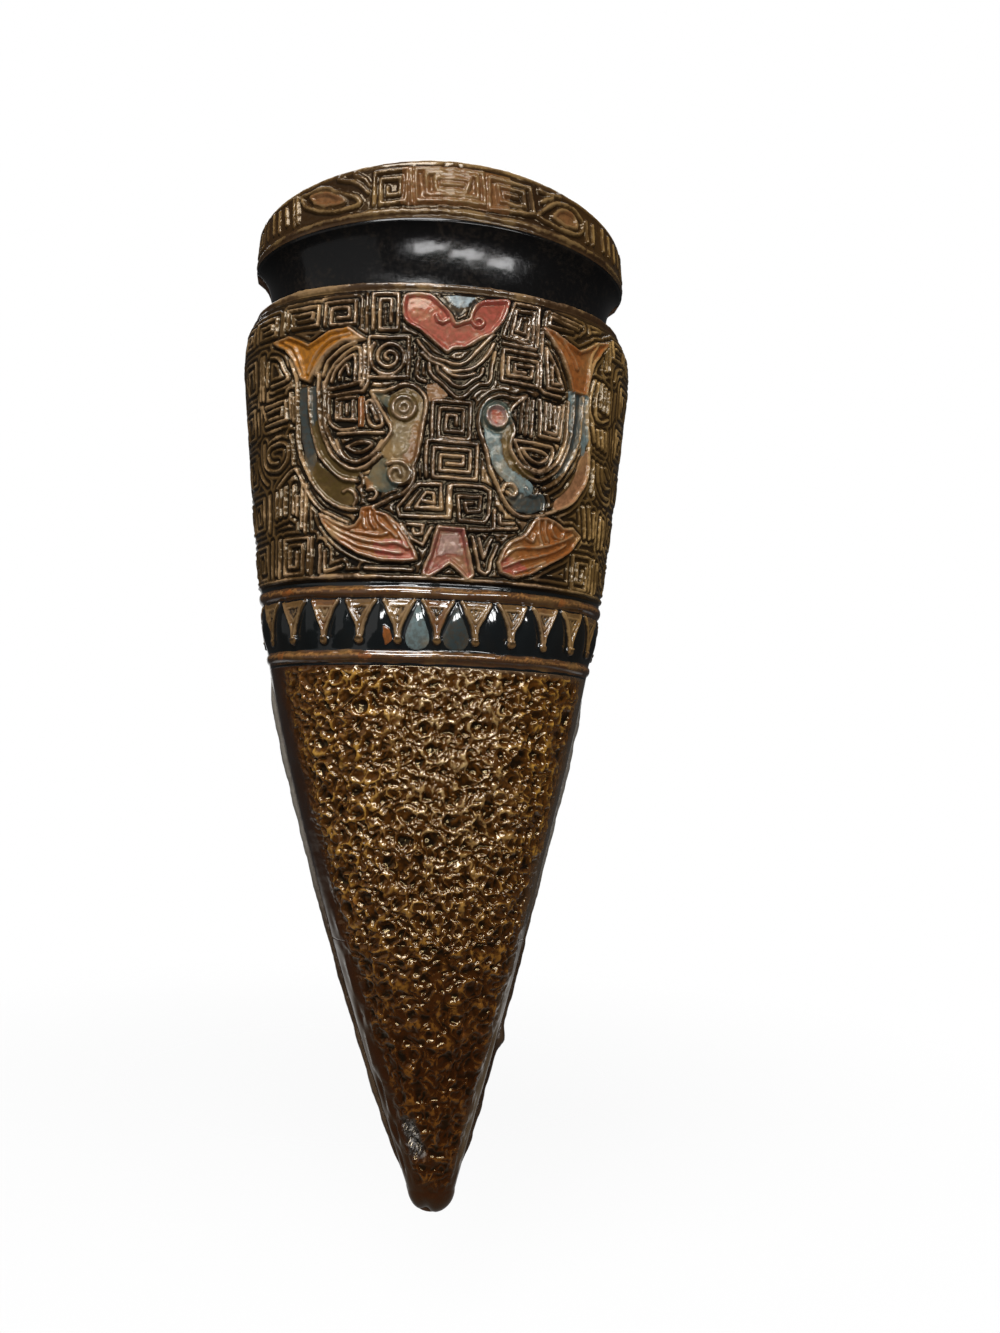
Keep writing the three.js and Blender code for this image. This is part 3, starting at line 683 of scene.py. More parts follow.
lappetTones = toned({
    "ground": (0.006, 0.008, 0.0088), "groundWarm": (0.011, 0.01, 0.008),
    "slope": (0.075, 0.042, 0.016), "slopeWarm": (0.11, 0.058, 0.018),
    "rubbed": (0.33, 0.21, 0.105), "rubbedWarm": (0.32, 0.18, 0.055), "sheen": (1.0, 1.0, 1.0),
    "paintedTops": 0.25, "uneven": 2.4, "rubStart": 0.45, "rubFull": 1.0, "grimeAndShade": 0.4, "cloud": 6.0,
    "coat": 0.7, "padCoat": 0.4, "dull": 1.0, "gloss": 0.5, "padRough": 0.0,
    "smooth": 0.06, "rough": 0.16, "bump": 0.05,
})
ornamentLacquer = reliefFinish("ornamentLacquer", ornamentTones)
rimLacquer = reliefFinish("rimLacquer", rimTones)
lappetLacquer = reliefFinish("lappetLacquer", lappetTones)


neckTones = toned({
    "black": (0.0045, 0.0042, 0.0042), "worn": (0.016, 0.012, 0.009), "wear": (0.22, 0.42),
    "coat": 0.5, "coatRough": 0.11, "gloss": 0.2, "cloud": 9.0, "fleck": 0.8,
    "matt": (0.3, 0.7, 0.12, 0.22), "bump": (0.16, 0.25),
})


def neckFinish():
    finish, tree, shader = newFinish("neckLacquer", {
        "Coat Weight": neckTones["coat"], "Coat Roughness": neckTones["coatRough"],
        "Specular IOR Level": neckTones["gloss"]})
    grain = placeGroup(tree, grainTree, {"Cloud Size": neckTones["cloud"], "Fleck Size": neckTones["fleck"]})
    worn = eased(tree, times(tree, grain["Cloud"], grain["Fleck"]), *neckTones["wear"])
    tree.links.new(blended(tree, worn, neckTones["black"], neckTones["worn"]), shader.inputs["Base Color"])
    tree.links.new(eased(tree, grain["Fleck"], *neckTones["matt"]), shader.inputs["Roughness"])
    bumped(tree, shader, grain["Fleck"], *neckTones["bump"])
    return finish


coneTones = toned({
    "pit": (0.006, 0.002, 0.001), "slope": (0.1, 0.033, 0.0036), "rim": (0.54, 0.275, 0.043),
    "paintedHighlight": (0.58, 0.38, 0.16), "slopeLow": (0.04, 0.0096, 0.0013), "rimLow": (0.2, 0.072, 0.0095),
    "left": (0.04, 0.0135, 0.0055), "right": (0.15, 0.1, 0.058), "red": (0.2, 0.05, 0.012),
    "chip": (0.03, 0.024, 0.02), "chipHighlight": (0.34, 0.32, 0.3), "sheen": (1.0, 0.72, 0.3),
})
# spans as for the relief; low, paleHeight, foot and polishHeight are heights in mm, paleMiddle and sides arcs
coneLook = {
    "coatRough": 0.07, "coatIor": 1.7, "gloss": 0.8, "cloud": 10.0, "fleck": 0.8, "bump": (0.08, 0.2),
    "lowDrift": 30.0, "low": (98.0, 40.0), "reddened": (0.58, 0.7, 0.0, 0.8), "front": 3.0,
    "paleMiddle": (17.0, 3.0), "paleDrift": 24.0, "paleHeight": (60.0, 96.0), "sunken": (-0.45, 0.05),
    "rubStart": 0.14, "rubFull": 0.62, "patchiness": 0.8, "sides": (-6.0, 6.0), "foot": (14.0, 6.0),
    "chipHighlightSpots": (0.5, 0.6), "grimeAndShadeDepth": (-0.1, -0.5), "grimeAndShade": 0.5, "matt": (0.3, 0.7, 0.08, 0.2),
    "polish": (-0.3, 0.3, 0.15, 1.0), "polishHeight": (10.0, 80.0, 0.35, 1.0),
}


def coneFinish():
    tones, look = coneTones, coneLook
    finish, tree, shader = newFinish("coneGlaze", {
        "Coat Roughness": look["coatRough"], "Coat IOR": look["coatIor"],
        "Specular IOR Level": look["gloss"], "Specular Tint": tones["sheen"]})
    grain = placeGroup(tree, grainTree, {"Cloud Size": look["cloud"], "Fleck Size": look["fleck"]})
    cloud, fleck = grain["Cloud"], grain["Fleck"]
    rise, field = attributeNode(tree, "rise")["Fac"], attributeNode(tree, "field")["Fac"]
    chip = attributeNode(tree, "chip")["Fac"]
    arc, height = parted(tree, attributeNode(tree, "flat")["Vector"])[:2]
    # darker towards the tip: painted shade where the light falls off downwards
    low = eased(tree, sums(tree, "MULTIPLY_ADD", cloud, look["lowDrift"], height), *look["low"])
    slope = blended(tree, low, tones["slope"], tones["slopeLow"])
    gold = blended(tree, low, tones["rim"], tones["rimLow"])
    gold = blended(tree, eased(tree, cloud, *look["reddened"]), gold, tones["red"])
    # painted highlight: the upper middle of the cone turns pale, where the light fell brightest
    middle = eased(tree, sums(tree, "ABSOLUTE", minus(tree, arc, look["front"])), *look["paleMiddle"])
    upper = eased(tree, sums(tree, "MULTIPLY_ADD", cloud, look["paleDrift"], height), *look["paleHeight"])
    gold = blended(tree, times(tree, middle, upper), gold, tones["paintedHighlight"])
    # painted shade: the pits are painted near black
    shown = blended(tree, eased(tree, rise, *look["sunken"]), tones["pit"], slope)
    mask = placeGroup(tree, rubbedTree, {
        "Height": rise, "Start": look["rubStart"], "Full": look["rubFull"], "Patch": fleck,
        "Patchiness": look["patchiness"]})["Mask"]
    shown = blended(tree, mask, shown, gold)
    # unstippled margins by the seams: dark brown on the left, partly the clay's colour and partly painted
    # shade where the cone turns from the light; grey-olive on the right, a painted reflection of the pale
    # surroundings; dark brown again near the tip
    margin = blended(tree, eased(tree, arc, *look["sides"]), tones["left"], tones["right"])
    margin = blended(tree, eased(tree, height, *look["foot"]), margin, tones["left"])
    shown = blended(tree, field, margin, shown)
    # the chip: dark broken glaze with pale spots painted in as its highlights
    broken = blended(tree, eased(tree, fleck, *look["chipHighlightSpots"]), tones["chip"], tones["chipHighlight"])
    shown = blended(tree, chip, shown, broken)
    # painted shade deepened again in the pits, in patches
    shown = placeGroup(tree, grimeAndShadeTree, {
        "Color": shown, "Depth": eased(tree, rise, *look["grimeAndShadeDepth"]), "Patch": cloud,
        "Amount": look["grimeAndShade"]})["Color"]
    tree.links.new(shown, shader.inputs["Base Color"])
    tree.links.new(eased(tree, fleck, *look["matt"]), shader.inputs["Roughness"])
    polish = times(tree, eased(tree, rise, *look["polish"]), eased(tree, height, *look["polishHeight"]))
    tree.links.new(most(tree, polish, chip), shader.inputs["Coat Weight"])
    bumped(tree, shader, fleck, *look["bump"])
    return finish


clayTones = {
    "back": toned({"base": (0.16, 0.08, 0.04), "spot": (0.07, 0.034, 0.018), "rough": 0.62}),
    "slip": toned({"base": (0.04, 0.02, 0.01), "spot": (0.1, 0.062, 0.034), "rough": 0.25,
                   "paintedHighlight": (0.3, 0.27, 0.23), "paleHeight": (-0.108, -0.086, 0.0, 0.8)}),
    "raw": toned({"base": (0.3, 0.15, 0.09), "spot": (0.17, 0.08, 0.045), "rough": 0.75}),
}
clayLook = {
    "gloss": 0.35, "cloud": 16.0, "fleck": 1.0, "spots": (0.35, 0.68), "grimeAndShadeDepth": (0.55, 0.75),
    "grimeAndShade": 0.6, "matt": (0.3, 0.7), "smoother": 0.1, "rougher": 0.12, "bump": (0.6, 0.35),
}


def clayFinish(name, tones):
    look = clayLook
    finish, tree, shader = newFinish(name, {"Specular IOR Level": look["gloss"]})
    grain = placeGroup(tree, grainTree, {"Cloud Size": look["cloud"], "Fleck Size": look["fleck"]})
    shown = blended(tree, eased(tree, grain["Cloud"], *look["spots"]), tones["base"], tones["spot"])
    # painted highlight: the slip ridge turns pale along its upper length, where it catches the light
    if "paintedHighlight" in tones:
        height = parted(tree, addNode(tree, "ShaderNodeTexCoord", {}).outputs["Object"])[2]
        shown = blended(tree, eased(tree, height, *tones["paleHeight"]), shown, tones["paintedHighlight"])
    shown = placeGroup(tree, grimeAndShadeTree, {
        "Color": shown, "Depth": eased(tree, grain["Fleck"], *look["grimeAndShadeDepth"]), "Patch": grain["Cloud"],
        "Amount": look["grimeAndShade"]})["Color"]
    tree.links.new(shown, shader.inputs["Base Color"])
    smooth, rough = tones["rough"] - look["smoother"], tones["rough"] + look["rougher"]
    tree.links.new(eased(tree, grain["Fleck"], *look["matt"], smooth, rough), shader.inputs["Roughness"])
    bumped(tree, shader, grain["Fleck"], *look["bump"])
    return finish


neckLacquer, coneGlaze = neckFinish(), coneFinish()
backClay, slipGlaze, rawClay = (
    clayFinish(name, clayTones[tone])
    for name, tone in (("backClay", "back"), ("slipGlaze", "slip"), ("rawClay", "raw")))
print("finishes ready")


# drawings for the relief, arc and height in mm
def plot(text):
    return np.array([[float(v) for v in pair.split(",")] for pair in text.split()])


def bent(text, steps=5):
    return splinePoints(plot(text), steps)


def loop(points):
    return np.vstack([points, points[:1]])


def ring(x, y, radius, steps=20):
    turn = np.linspace(0, 2 * math.pi, steps + 1)
    return np.stack([x + radius * np.cos(turn), y + radius * np.sin(turn)], 1)


def disc(x, y, radius, steps=20):
    return ring(x, y, radius, steps)[:-1]


# a square fret's pitch, most legs and shortest leg in pitches; a round one's steps in a turn and closing
frets = {"pitch": 1.2, "legs": 40, "shortest": 0.9, "steps": 22, "closing": 0.86}


def squareFret(x, y, wide, tall, flip=1):
    pitch = frets["pitch"]
    corners, lean = [np.array([-wide / 2, -tall / 2])], [(0, 1), (1, 0), (0, -1), (-1, 0)]
    for leg in range(frets["legs"]):
        across, up = lean[leg % 4]
        length = (wide if across else tall) - pitch * max(0, (leg - 1) // 2)
        if length < frets["shortest"] * pitch:
            break
        corners.append(corners[-1] + np.array([across, up]) * length)
    return np.array(corners) * (flip, 1) + (x, y)


def roundFret(x, y, radius, turns, start=0.0):
    turn = np.linspace(0, 2 * math.pi * turns, int(frets["steps"] * turns))
    size = radius * (1 - frets["closing"] * turn / turn[-1])
    return np.stack([x + size * np.cos(turn + start), y + size * np.sin(turn + start)], 1)


def mirrored(points, middle=0.1):
    return np.asarray(points) * (-1, 1) + (2 * middle, 0)


paints = {
    "coral": (0.37, 0.075, 0.052), "rose": (0.29, 0.075, 0.06), "ash": (0.42, 0.25, 0.215),
    "ochre": (0.45, 0.165, 0.014), "rust": (0.32, 0.1, 0.022), "orange": (0.3, 0.095, 0.02),
    "teal": (0.05, 0.08, 0.07), "mist": (0.17, 0.23, 0.23), "slate": (0.045, 0.06, 0.06),
    "dark": (0.008, 0.01, 0.012), "skyHighlight": (0.33, 0.4, 0.43), "sand": (0.23, 0.175, 0.1),
    "tan": (0.17, 0.11, 0.05), "bark": (0.05, 0.024, 0.01), "copper": (0.2, 0.085, 0.03),
    "olive": (0.075, 0.046, 0.01), "peach": (0.34, 0.16, 0.075), "bead": (0.1, 0.042, 0.016),
    "beadHighlight": (0.33, 0.15, 0.045), "umber": (0.035, 0.022, 0.012), "honey": (0.19, 0.1, 0.034),
}

mask = bent("-0.8,153.9 -2.5,155.1 -3.9,156.2 -5.7,157.6 -7.8,158.8 -8.6,160.7 -8.6,162.7 -7.8,163.8 "
            "-5.8,164 -3.9,163.7 -2.3,162.5 -1.2,161.3 -0.2,159.9 0.5,158.8 1.7,159.3 3,159.9 3.3,161 "
            "4,162.4 5.4,163.4 7.6,163.9 9.8,164.1 9.6,162.7 8.9,160.7 7.6,158.8 6.5,157.6 4.8,156.8 "
            "3.4,155.7 2,155 0.9,154.9 -0.1,154.6", 3)
tab = plot("-1.4,123.2 3.1,123.2 3.8,120.4 4.5,117.6 5.1,115.3 4.2,114.6 2.6,115.9 0.9,117.2 -0.8,115.9 "
           "-2.5,114.8 -3.5,115.1 -3.3,116.2 -2.3,119")
birdEdge = bent("-13.7,146.6 -11.7,146.5 -9.9,147.2 -7.8,147.9 -5.6,147.2 -4.3,145.4 -4.2,143.4 -4.6,140.9 "
                "-5,137.6 -5.4,135.2 -6,133.6 -5.8,132.2 -6.2,130.5 -7.8,128.9 -10,127.8 -12.8,126.4 "
                "-14.6,126.1")
birdInner = bent("-22.4,148.6 -22.4,144.5 -22.2,142.3 -21.7,140 -20.6,137.9 -19.4,136.2 -17.8,134.9 "
                 "-15.8,134.4 -13.9,135.1 -11.9,136.7 -10.4,138.9 -10.1,140.1 -10.8,141.7 -12.2,143.9 "
                 "-13.7,146.4")
birdArc = bent("-23.6,150 -23.5,145 -23.1,142.3 -22.4,139.5 -21.1,136.7 -19.4,134.6 -17.2,133.3 -15.6,133.1 "
               "-13.8,133.8 -12,135.4")
tailOuter = bent("-29.6,153.2 -28.4,150 -28.1,148.1 -27.8,143.9 -27.6,140 -27.1,136.7 -25.8,134.2 -24.7,132 "
                 "-23.3,130 -21.7,128.4 -19.7,127 -17.8,126.3 -15.6,126.1")
tailMiddle = bent("-25.4,147.9 -25.3,145 -25,142.3 -24.3,139.5 -23.3,136.7 -21.9,134.5 -20,132.6 "
                  "-18.3,131.5 -15.8,131")
tailEcho = bent("-28.1,133.9 -26.4,131.7 -24.7,128.7 -22.5,126.4 -20,125.1 -17.2,123.9")
rightEdge = bent("13.7,147.7 11.4,146.9 9.4,147.2 7.4,146.6 5.9,145.2 5.2,142.9 5.3,140.9 6.1,138.7 "
                 "6.9,136.4 7.6,133.9 8.8,131.4 9.9,129.2 11.6,127.3 13.6,126.4 15.8,126.5 18,127.1")
rightInner = bent("13.7,147.5 11.5,145.6 10.6,143.9 11.2,142.4 11.6,141 11,139.4 11.2,137.6 12.4,135.9 "
                  "14.2,134.8 16,134.4 18,134.9 19.8,136.2 21.2,138.4 22,141 22.3,144.4 22.4,148")
rightTail = bent("26.9,150.2 27.1,146 27.6,142.3 28.1,138.5 27.9,135.9 26.9,133.6 25.2,131.3 23,129.4 "
                 "20.5,128.2 18.4,127.4")
leftFork = plot("-33.75,157 -30,157.4 -27.5,156.2 -25.8,155.3 -24.2,156 -21.7,157.4 -18.3,157.8 "
                "-15.4,155.75 -19.2,155.75 -22.1,154.1 -24.2,151.6 -25.4,149.1 -27.3,149.9 -28.75,153.25 "
                "-30.8,155.3")
rightFork = plot("16.6,160.3 19,160 22,158.6 24.6,157.6 26.5,158.6 29,160.4 32.6,161.2 30.2,159 28,156 "
                 "26.9,152 26.6,150.3 23.2,150.3 22.5,152.6 20.6,156 18.4,158.8")
leftPlume = plot("-22.4,125.4 -19.4,123.9 -16.9,122.9 -15.6,123.3 -14.8,124.6 -14.6,126.2 -12.8,126.4 "
                 "-12.2,125.6 -10.3,125.1 -8.3,123.4 -6.7,121.2 -5.3,118.7 -4.9,117.6 -7.2,117.2 "
                 "-11.4,117.5 -15,118.6 -17.8,120.1 -20,121.9 -21.7,123.8")
rightPlume = plot("9.7,117.8 10.1,116.2 12.4,115.5 15.5,116.3 17.4,117.4 19.7,118.7 22.4,120.1 24.7,121.9 "
                  "26.6,124.4 24.7,125.5 22.4,125.2 20.2,126.3 18.6,126.6 16.9,126.3 16,125.4 14.9,123.6 "
                  "13.6,122.5 11.9,121.7 10.5,120.1")
neckPad = bent("-10.2,145.8 -7.8,147.2 -5.2,145.8 -4.9,143.4 -5.2,139.5 -5.8,135.6 -6.6,133.6 -10.4,134.8 "
               "-11.6,136.2 -10,138.6 -9.6,140 -10.2,142", 3)
neckPatch = bent("-9.4,141.4 -6.8,141 -6.9,137.8 -7.8,135.7 -9.8,135.7 -9.8,138.7", 3)
neckSide = bent("-6.4,141.2 -5.2,141.6 -5.2,137.8 -5.8,134.8 -7.4,133.9 -8,135 -6.9,136.6 -6.6,138.8", 3)
chestPad = bent("-11.4,134.8 -10.6,134.5 -10.5,132.6 -10,131.2 -8.7,130.2 -10.6,129.2 -12.2,129.6 -13.8,131 "
                "-13,133.2", 3)
rightNeck = bent("6.2,141.8 7.4,141.2 8.8,141 9.4,138.6 9.8,136.2 11,134.6 13.4,133.4 15.6,131.8 14.6,130 "
                 "12.6,131.4 9.9,132.6 8.4,134.4 7.5,137 6.5,139.4", 3)
rightNape = bent("9.6,141.6 11.2,141.8 11,139.4 11.2,137.2 12.8,135 15.8,133.6 13.8,133.2 11,134.6 "
                 "9.9,136.4 9.4,138.8", 3)
tailBands = [
    ("slate", plot("-27.4,148 -25.8,148 -25.6,144 -25,140 -24,136.6 -23.2,133.6 -24.6,132.6 -25.8,135.4 "
                   "-26.7,139 -27.2,143.5")),
    ("olive", plot("-24.6,132.4 -23.4,134.6 -21.6,133 -19.4,131.4 -16.2,130.6 -16.2,127 -18.4,126.8 "
                   "-20.6,127.8 -22.6,129.6")),
    ("slate", plot("-25,148 -24,148 -23.9,144.5 -23.6,142.4 -24.4,141.4 -24.9,144.5")),
    ("olive", plot("-24.4,141.2 -23.5,142 -22.6,139 -21.2,136.2 -19.4,134.2 -17,132.8 -15.2,132.8 -16,131.4 "
                   "-18.4,131.9 -20.2,133 -22,135 -23.4,137.4")),
    ("slate", plot("23.6,149.8 25.7,149.8 25.5,145 24.8,141.5 23.8,138.4 22,135.8 20.4,134.2 21.5,136.8 "
                   "22.7,139.6 23.3,143 23.5,146.5")),
    ("mist", plot("25.9,150 26.8,150 26.9,146 27.3,142.4 27,139.8 26.2,139.4 26,143 25.9,146")),
    ("mist", plot("22.6,150 23.4,150 23.3,146 23,143 22.5,143 22.6,146")),
    ("slate", plot("11.4,131.2 14.4,130.2 17.6,130.6 18.2,128.4 15.6,127.2 12.8,127.4 11,129.2")),
]
tailFoot = bent("27.4,140.1 28.1,138.1 27.9,135.9 26.9,133.7 25.2,131.4 23,129.5 20.5,128.4 20.2,129.2 "
                "21.6,130.9 23.6,132.8 24.9,135.1 25.8,137.6 26.6,139.2", 3)
tailLine = bent("25.8,149.6 25.6,145 25,141 23.8,138 22,135.2 20,133 18,131.8")

curls = [bent(t) for t in (
    "-10.6,134 -9.2,134.4 -7.6,134.1 -6.6,133 -6.7,131.4 -7.9,130.6 -9.3,130.8 -10,132 -9.4,133.1 "
    "-8.4,133 -8.1,132.1", "-18.1,129.3 -17.3,129.7 -16.2,129 -15.8,127.9 -16.2,126.9",
    "-13.8,129.6 -13,129.8 -12.2,129 -12.6,127.9 -13.5,127.8",
    "9.9,130.4 10.4,131.5 11.7,131.6 12.5,130.6 11.8,129.7 10.9,130.2", "17.2,130.8 18,129.6 17.9,127.8",
    "14.2,131.4 15,130.4 16.2,130.4 16.6,131.4",
)]
brows = [bent(t) for t in (
    "-6.1,155.7 -5,154.3 -3.6,152.9 -1.4,152.3 0.3,151.8 2,152 3.1,152.9 4.2,154.3 5.9,156.2 7.3,157.6",
    "-5.3,153.4 -3.6,152 -1.9,151.5 0,150.6 2,150.8 3.7,151.3 5.1,152.5 6.2,154 7.3,156",
    "-5.7,152.3 -6,150.6 -5.7,149 -4.4,148.5",
    "-3.9,151.5 -3.6,150.1 -2.5,149 -1.1,147.8 0,146.7 1.2,146 2.6,146.4 3.7,147.6 5.1,148.7 6.5,149 "
    "7,150.1 7.2,152.3 7.6,154.6",
    "-2.6,151.2 -2.3,150.4 -0.8,149.2 0.6,148.1 2.3,148.1 3.7,149.2 5.1,150.1 5.6,151.5",
    "-1.4,150.8 0.3,149.8 2.3,149.8 4.2,150.5", "-3,160.2 -2.6,159.3 -1.8,159 -0.9,159.5",
    "3.3,159.6 4,158.9 4.9,159 5.4,159.7 4.8,160.3 4.1,160",
)]
middleFrets = [
    squareFret(0.3, 142, 6.6, 6.4), squareFret(0.6, 135.1, 8.8, 6.2),
] + [plot(t) for t in (
    "0.3,130.5 0.3,125.1 -8.1,125 -8.4,126.5 -6.4,129.1 -5,130.7 -1.1,130.7 -0.8,126.5 -5.3,126.5 "
    "-3.6,129.2 -2.3,129.1 -2.1,127.4 -4.2,127.7",
    "0.6,125.1 0.7,130.7 6.2,130.9 7.6,130.2 7.6,126 6.8,124.7 2.3,124.7 2,128.8 5.9,129.1 5.9,126.5 "
    "3.7,126.3 3.1,127.7 4.5,127.9", "-6.7,123.5 -3.9,123.5 -4,122.1 -5.3,121.8 -5.6,122.6",
    "-7.8,123.6 -5.8,121 -3.9,120.1 -2.5,123.2", "4.2,123.2 8.2,123.5",
    "4.8,122 5.4,119.3 6.2,116.2 7.3,115.6 8,116.2 8.2,118.1 9.3,120.7",
    "5.9,121.8 6.8,118.4 7.6,120.7 8.2,121.8",
)]
leftFrets = [
    squareFret(-20, 160.8, 5.6, 4.2), squareFret(-27.5, 160.7, 6.5, 3.6), squareFret(-11.8, 160.8, 4.4, 6.6),
    roundFret(-10.9, 152.6, 3.5, 2.3, 2.4), loop(squareFret(-11, 152.6, 7, 7)[:4]),
    squareFret(-27.4, 118.4, 5.4, 6.3, -1),
] + [bent(t, 4) for t in (
    "-24.2,150.1 -23.5,151.7 -21.9,153.9 -20,155.2 -18.1,156 -16,156.3",
    "-22.8,149.8 -22.2,151.7 -20.8,153.3 -18.9,154.7 -16.8,155.3",
    "-22.3,147.6 -21.9,149.5 -20.8,151.4 -19.5,152.8 -18.1,153.9 -16.5,154.4 -16,153.3 -16,149.3 "
    "-16.5,148.2 -21.6,147.4", "-21.1,148.7 -20.7,150.1 -19.7,151.4 -18.4,152.5 -17,153 -16.9,148.7",
    "-19.7,149 -19.5,150.3 -18.4,151.4 -18,149.8",
    "-21.6,146.8 -21.6,144.4 -21.4,142.2 -20.7,140.9 -19.2,140.1 -16.5,140.2",
    "-19.9,138.3 -19.2,136.8 -17.9,135.2 -16.2,134.5 -14.3,135 -12.7,136.3 -11.6,137.9",
    "-17.9,137.1 -16.5,136.3 -14.9,136.2 -13.3,137.4 -15.4,137.8 -17.9,137.1",
    "-14.5,144.7 -13.7,145 -12.7,143.6 -11.6,140.9 -13.3,140.6 -14.3,142.2 -14.5,144.7",
    "-35.5,153.9 -35.8,149.8", "-34.7,154.7 -32.8,154.1 -31.5,152.2 -30.4,150.1 -34.4,149.5",
    "-36.6,139.3 -36.3,135.8 -34.7,134.4 -32,134.1 -30.1,135.5 -29.9,137.9 -31.5,139 -34.2,138.7 "
    "-35.3,137.4 -34.4,135.8 -32.6,135.5", "-39,137.4 -38.5,135.2 -36.9,133.1 -35.3,132",
    "-29.3,140.1 -28.8,137.4 -28.5,134.7", "-32.3,130.9 -30.4,132.5 -28,133.9 -26.9,132.3 -26.1,130.6",
)] + [plot(t) for t in (
    "-15.3,154.7 -15.2,148.7 -15.7,147.6", "-14.5,153.6 -14.5,148.2 -15.2,146.7 -21.4,146.2",
    "-16.5,145.6 -20.1,145.5 -20,142 -16.5,141.7", "-19.3,144.7 -19.3,142.5", "-18.1,144.4 -18.1,142.8",
    "-17,144.9 -17,142.2", "-15.5,145.4 -15.5,140.7", "-13.7,144.1 -12.7,141.7", "-19.6,139.4 -11.4,139.4",
    "-37.7,155.2 -37.8,147.6", "-36.9,155.2 -36.9,147.4", "-36.2,146 -30.5,146.3 -30.4,142.8 -36.1,142.5",
    "-35.5,144.9 -31.5,145.2 -31.5,143.6 -35,143.6", "-29.6,147.4 -29.2,142.8", "-28.8,146.6 -28.6,142.2",
    "-38.9,145.5 -38.8,141.7", "-32.7,130.1 -32.7,125.5", "-31.6,130.5 -31.6,125.8",
    "-30.3,130.9 -30.3,126", "-28.2,130.9 -28.2,126", "-27.4,129 -27.4,125.5", "-26.3,130.9 -26.3,123.3",
    "-25.5,130.9 -25.5,122.5", "-34.7,130 -34.7,123.3", "-33.9,121.5 -33.9,115", "-31.6,121.5 -31.6,115",
    "-24,121.5 -24,115", "-22.3,120.1 -22.2,115.2", "-18.1,116.3 -21.2,115.5 -21.4,119",
    "-21.9,114.7 -14.9,114.7", "-13.8,115.9 -5.6,115.7",
)] + [squareFret(*spot) for spot in (
    (-36.6, 160.2, 6, 3.6), (-43.4, 160, 5, 3.6), (-42, 152.2, 4.6, 5.4), (-42.6, 143.8, 4.6, 5.2),
    (-42, 135.4, 4.4, 5.4), (-39.2, 127, 5, 5.6), (-38, 118, 4.8, 5.8), (-45.4, 127, 4, 5.4),
    (-44, 118, 4, 5.6),
)]
rightFrets = [plot(t) for t in (
    "15.5,164.1 11.1,164.1 9,157.6 14.5,156.8 14.9,163 11.5,162.8 10.5,158 13.6,157.6 14,161.6 12.4,161.4 "
    "11.5,158.9 13,158.7 13.2,160.5",
    "15.7,155.3 9.25,155.3 8.9,149.9 15.7,149.7 15.7,154.1 10.1,154.1 10.1,151 14.5,151 14.7,153 11.3,153 "
    "11.3,151.8 13.4,151.8", "9,156.4 15.1,156.2", "15.9,164.1 15.4,156.6",
    "25.1,162.6 17.6,163.9 17,160.6", "24.3,161.8 18.4,163 18,161.2 23,161.1",
    "16.5,159.4 16.3,149.6 17.2,148.9 20.7,148.7", "17.4,156.8 18,149.9 21.3,149.9 19.6,153.6 17.4,156.8",
    "18.6,153.7 18.9,150.8 20.2,150.8", "16.5,147.4 16.75,141.2 20.7,141 21.5,147.4",
    "17.7,147 17.7,142 19.9,141.8 20.5,147", "18.6,147 18.6,142.8", "19.5,146.8 19.5,143.2",
    "13.2,147 12.8,141.2", "14.2,147.4 13.8,141", "15.1,147 14.9,140.75", "11.75,139.7 19.25,139.5",
    "8.6,126.8 8.6,123.6 12.9,124.1", "9.6,126 9.8,124.6 12.2,124.9",
)] + [bent(t, 4) for t in (
    "11.75,139.7 13,137 15,135.2 17,134.9 18.8,136.2 19.6,138.4 19.25,139.5",
    "13,138.4 15,136.6 17,136.2 18.4,137.6 16,138.4 13,138.4", "29,153.6 27.9,151 27.7,147.6 29,145.6",
    "30,153.4 29.4,150.6 29.6,147.4 31.4,146.4 33.6,147.4", "31.2,153.4 31,149", "32.4,153 32.2,148.6",
    "33.6,152.6 33.4,148.4", "28.6,145.4 29.6,142.4", "30.2,144.8 30.9,141.8", "31.6,145 32.2,141.6",
    "33,145 33.4,141.4", "29.4,139 29.8,136 29.6,133", "31,138.6 31.6,135.4 33.6,133.4 36,133.2",
    "32.4,138.4 33,136 34.6,135 36.6,135.2", "34,138.6 36,137", "27.4,130 28.2,124.6",
    "29,130.4 29.8,124.6", "30.8,129.6 31,125", "33.4,129.2 33.2,123.4", "34.8,128.8 34.8,123.6",
    "31.9,121 31.9,114.6", "33.4,120.6 33.2,115", "35.6,119 36.6,117.4 38,117", "36,124 38,122.8",
    "35.2,155 36.2,157.4 38.6,158.2", "32.2,161.6 32,156", "33.2,162 33.2,156.4",
)] + [squareFret(*spot, -1) for spot in (
    (28, 118, 5.2, 6), (37.4, 161, 5.6, 3.4), (43.6, 160, 5, 3.6), (40.8, 152, 4.6, 5.4),
    (40.2, 144, 5, 5.2), (41, 136, 4.6, 5.2), (39.6, 127, 4.6, 5.4), (41.6, 118.6, 5, 5.6),
)]
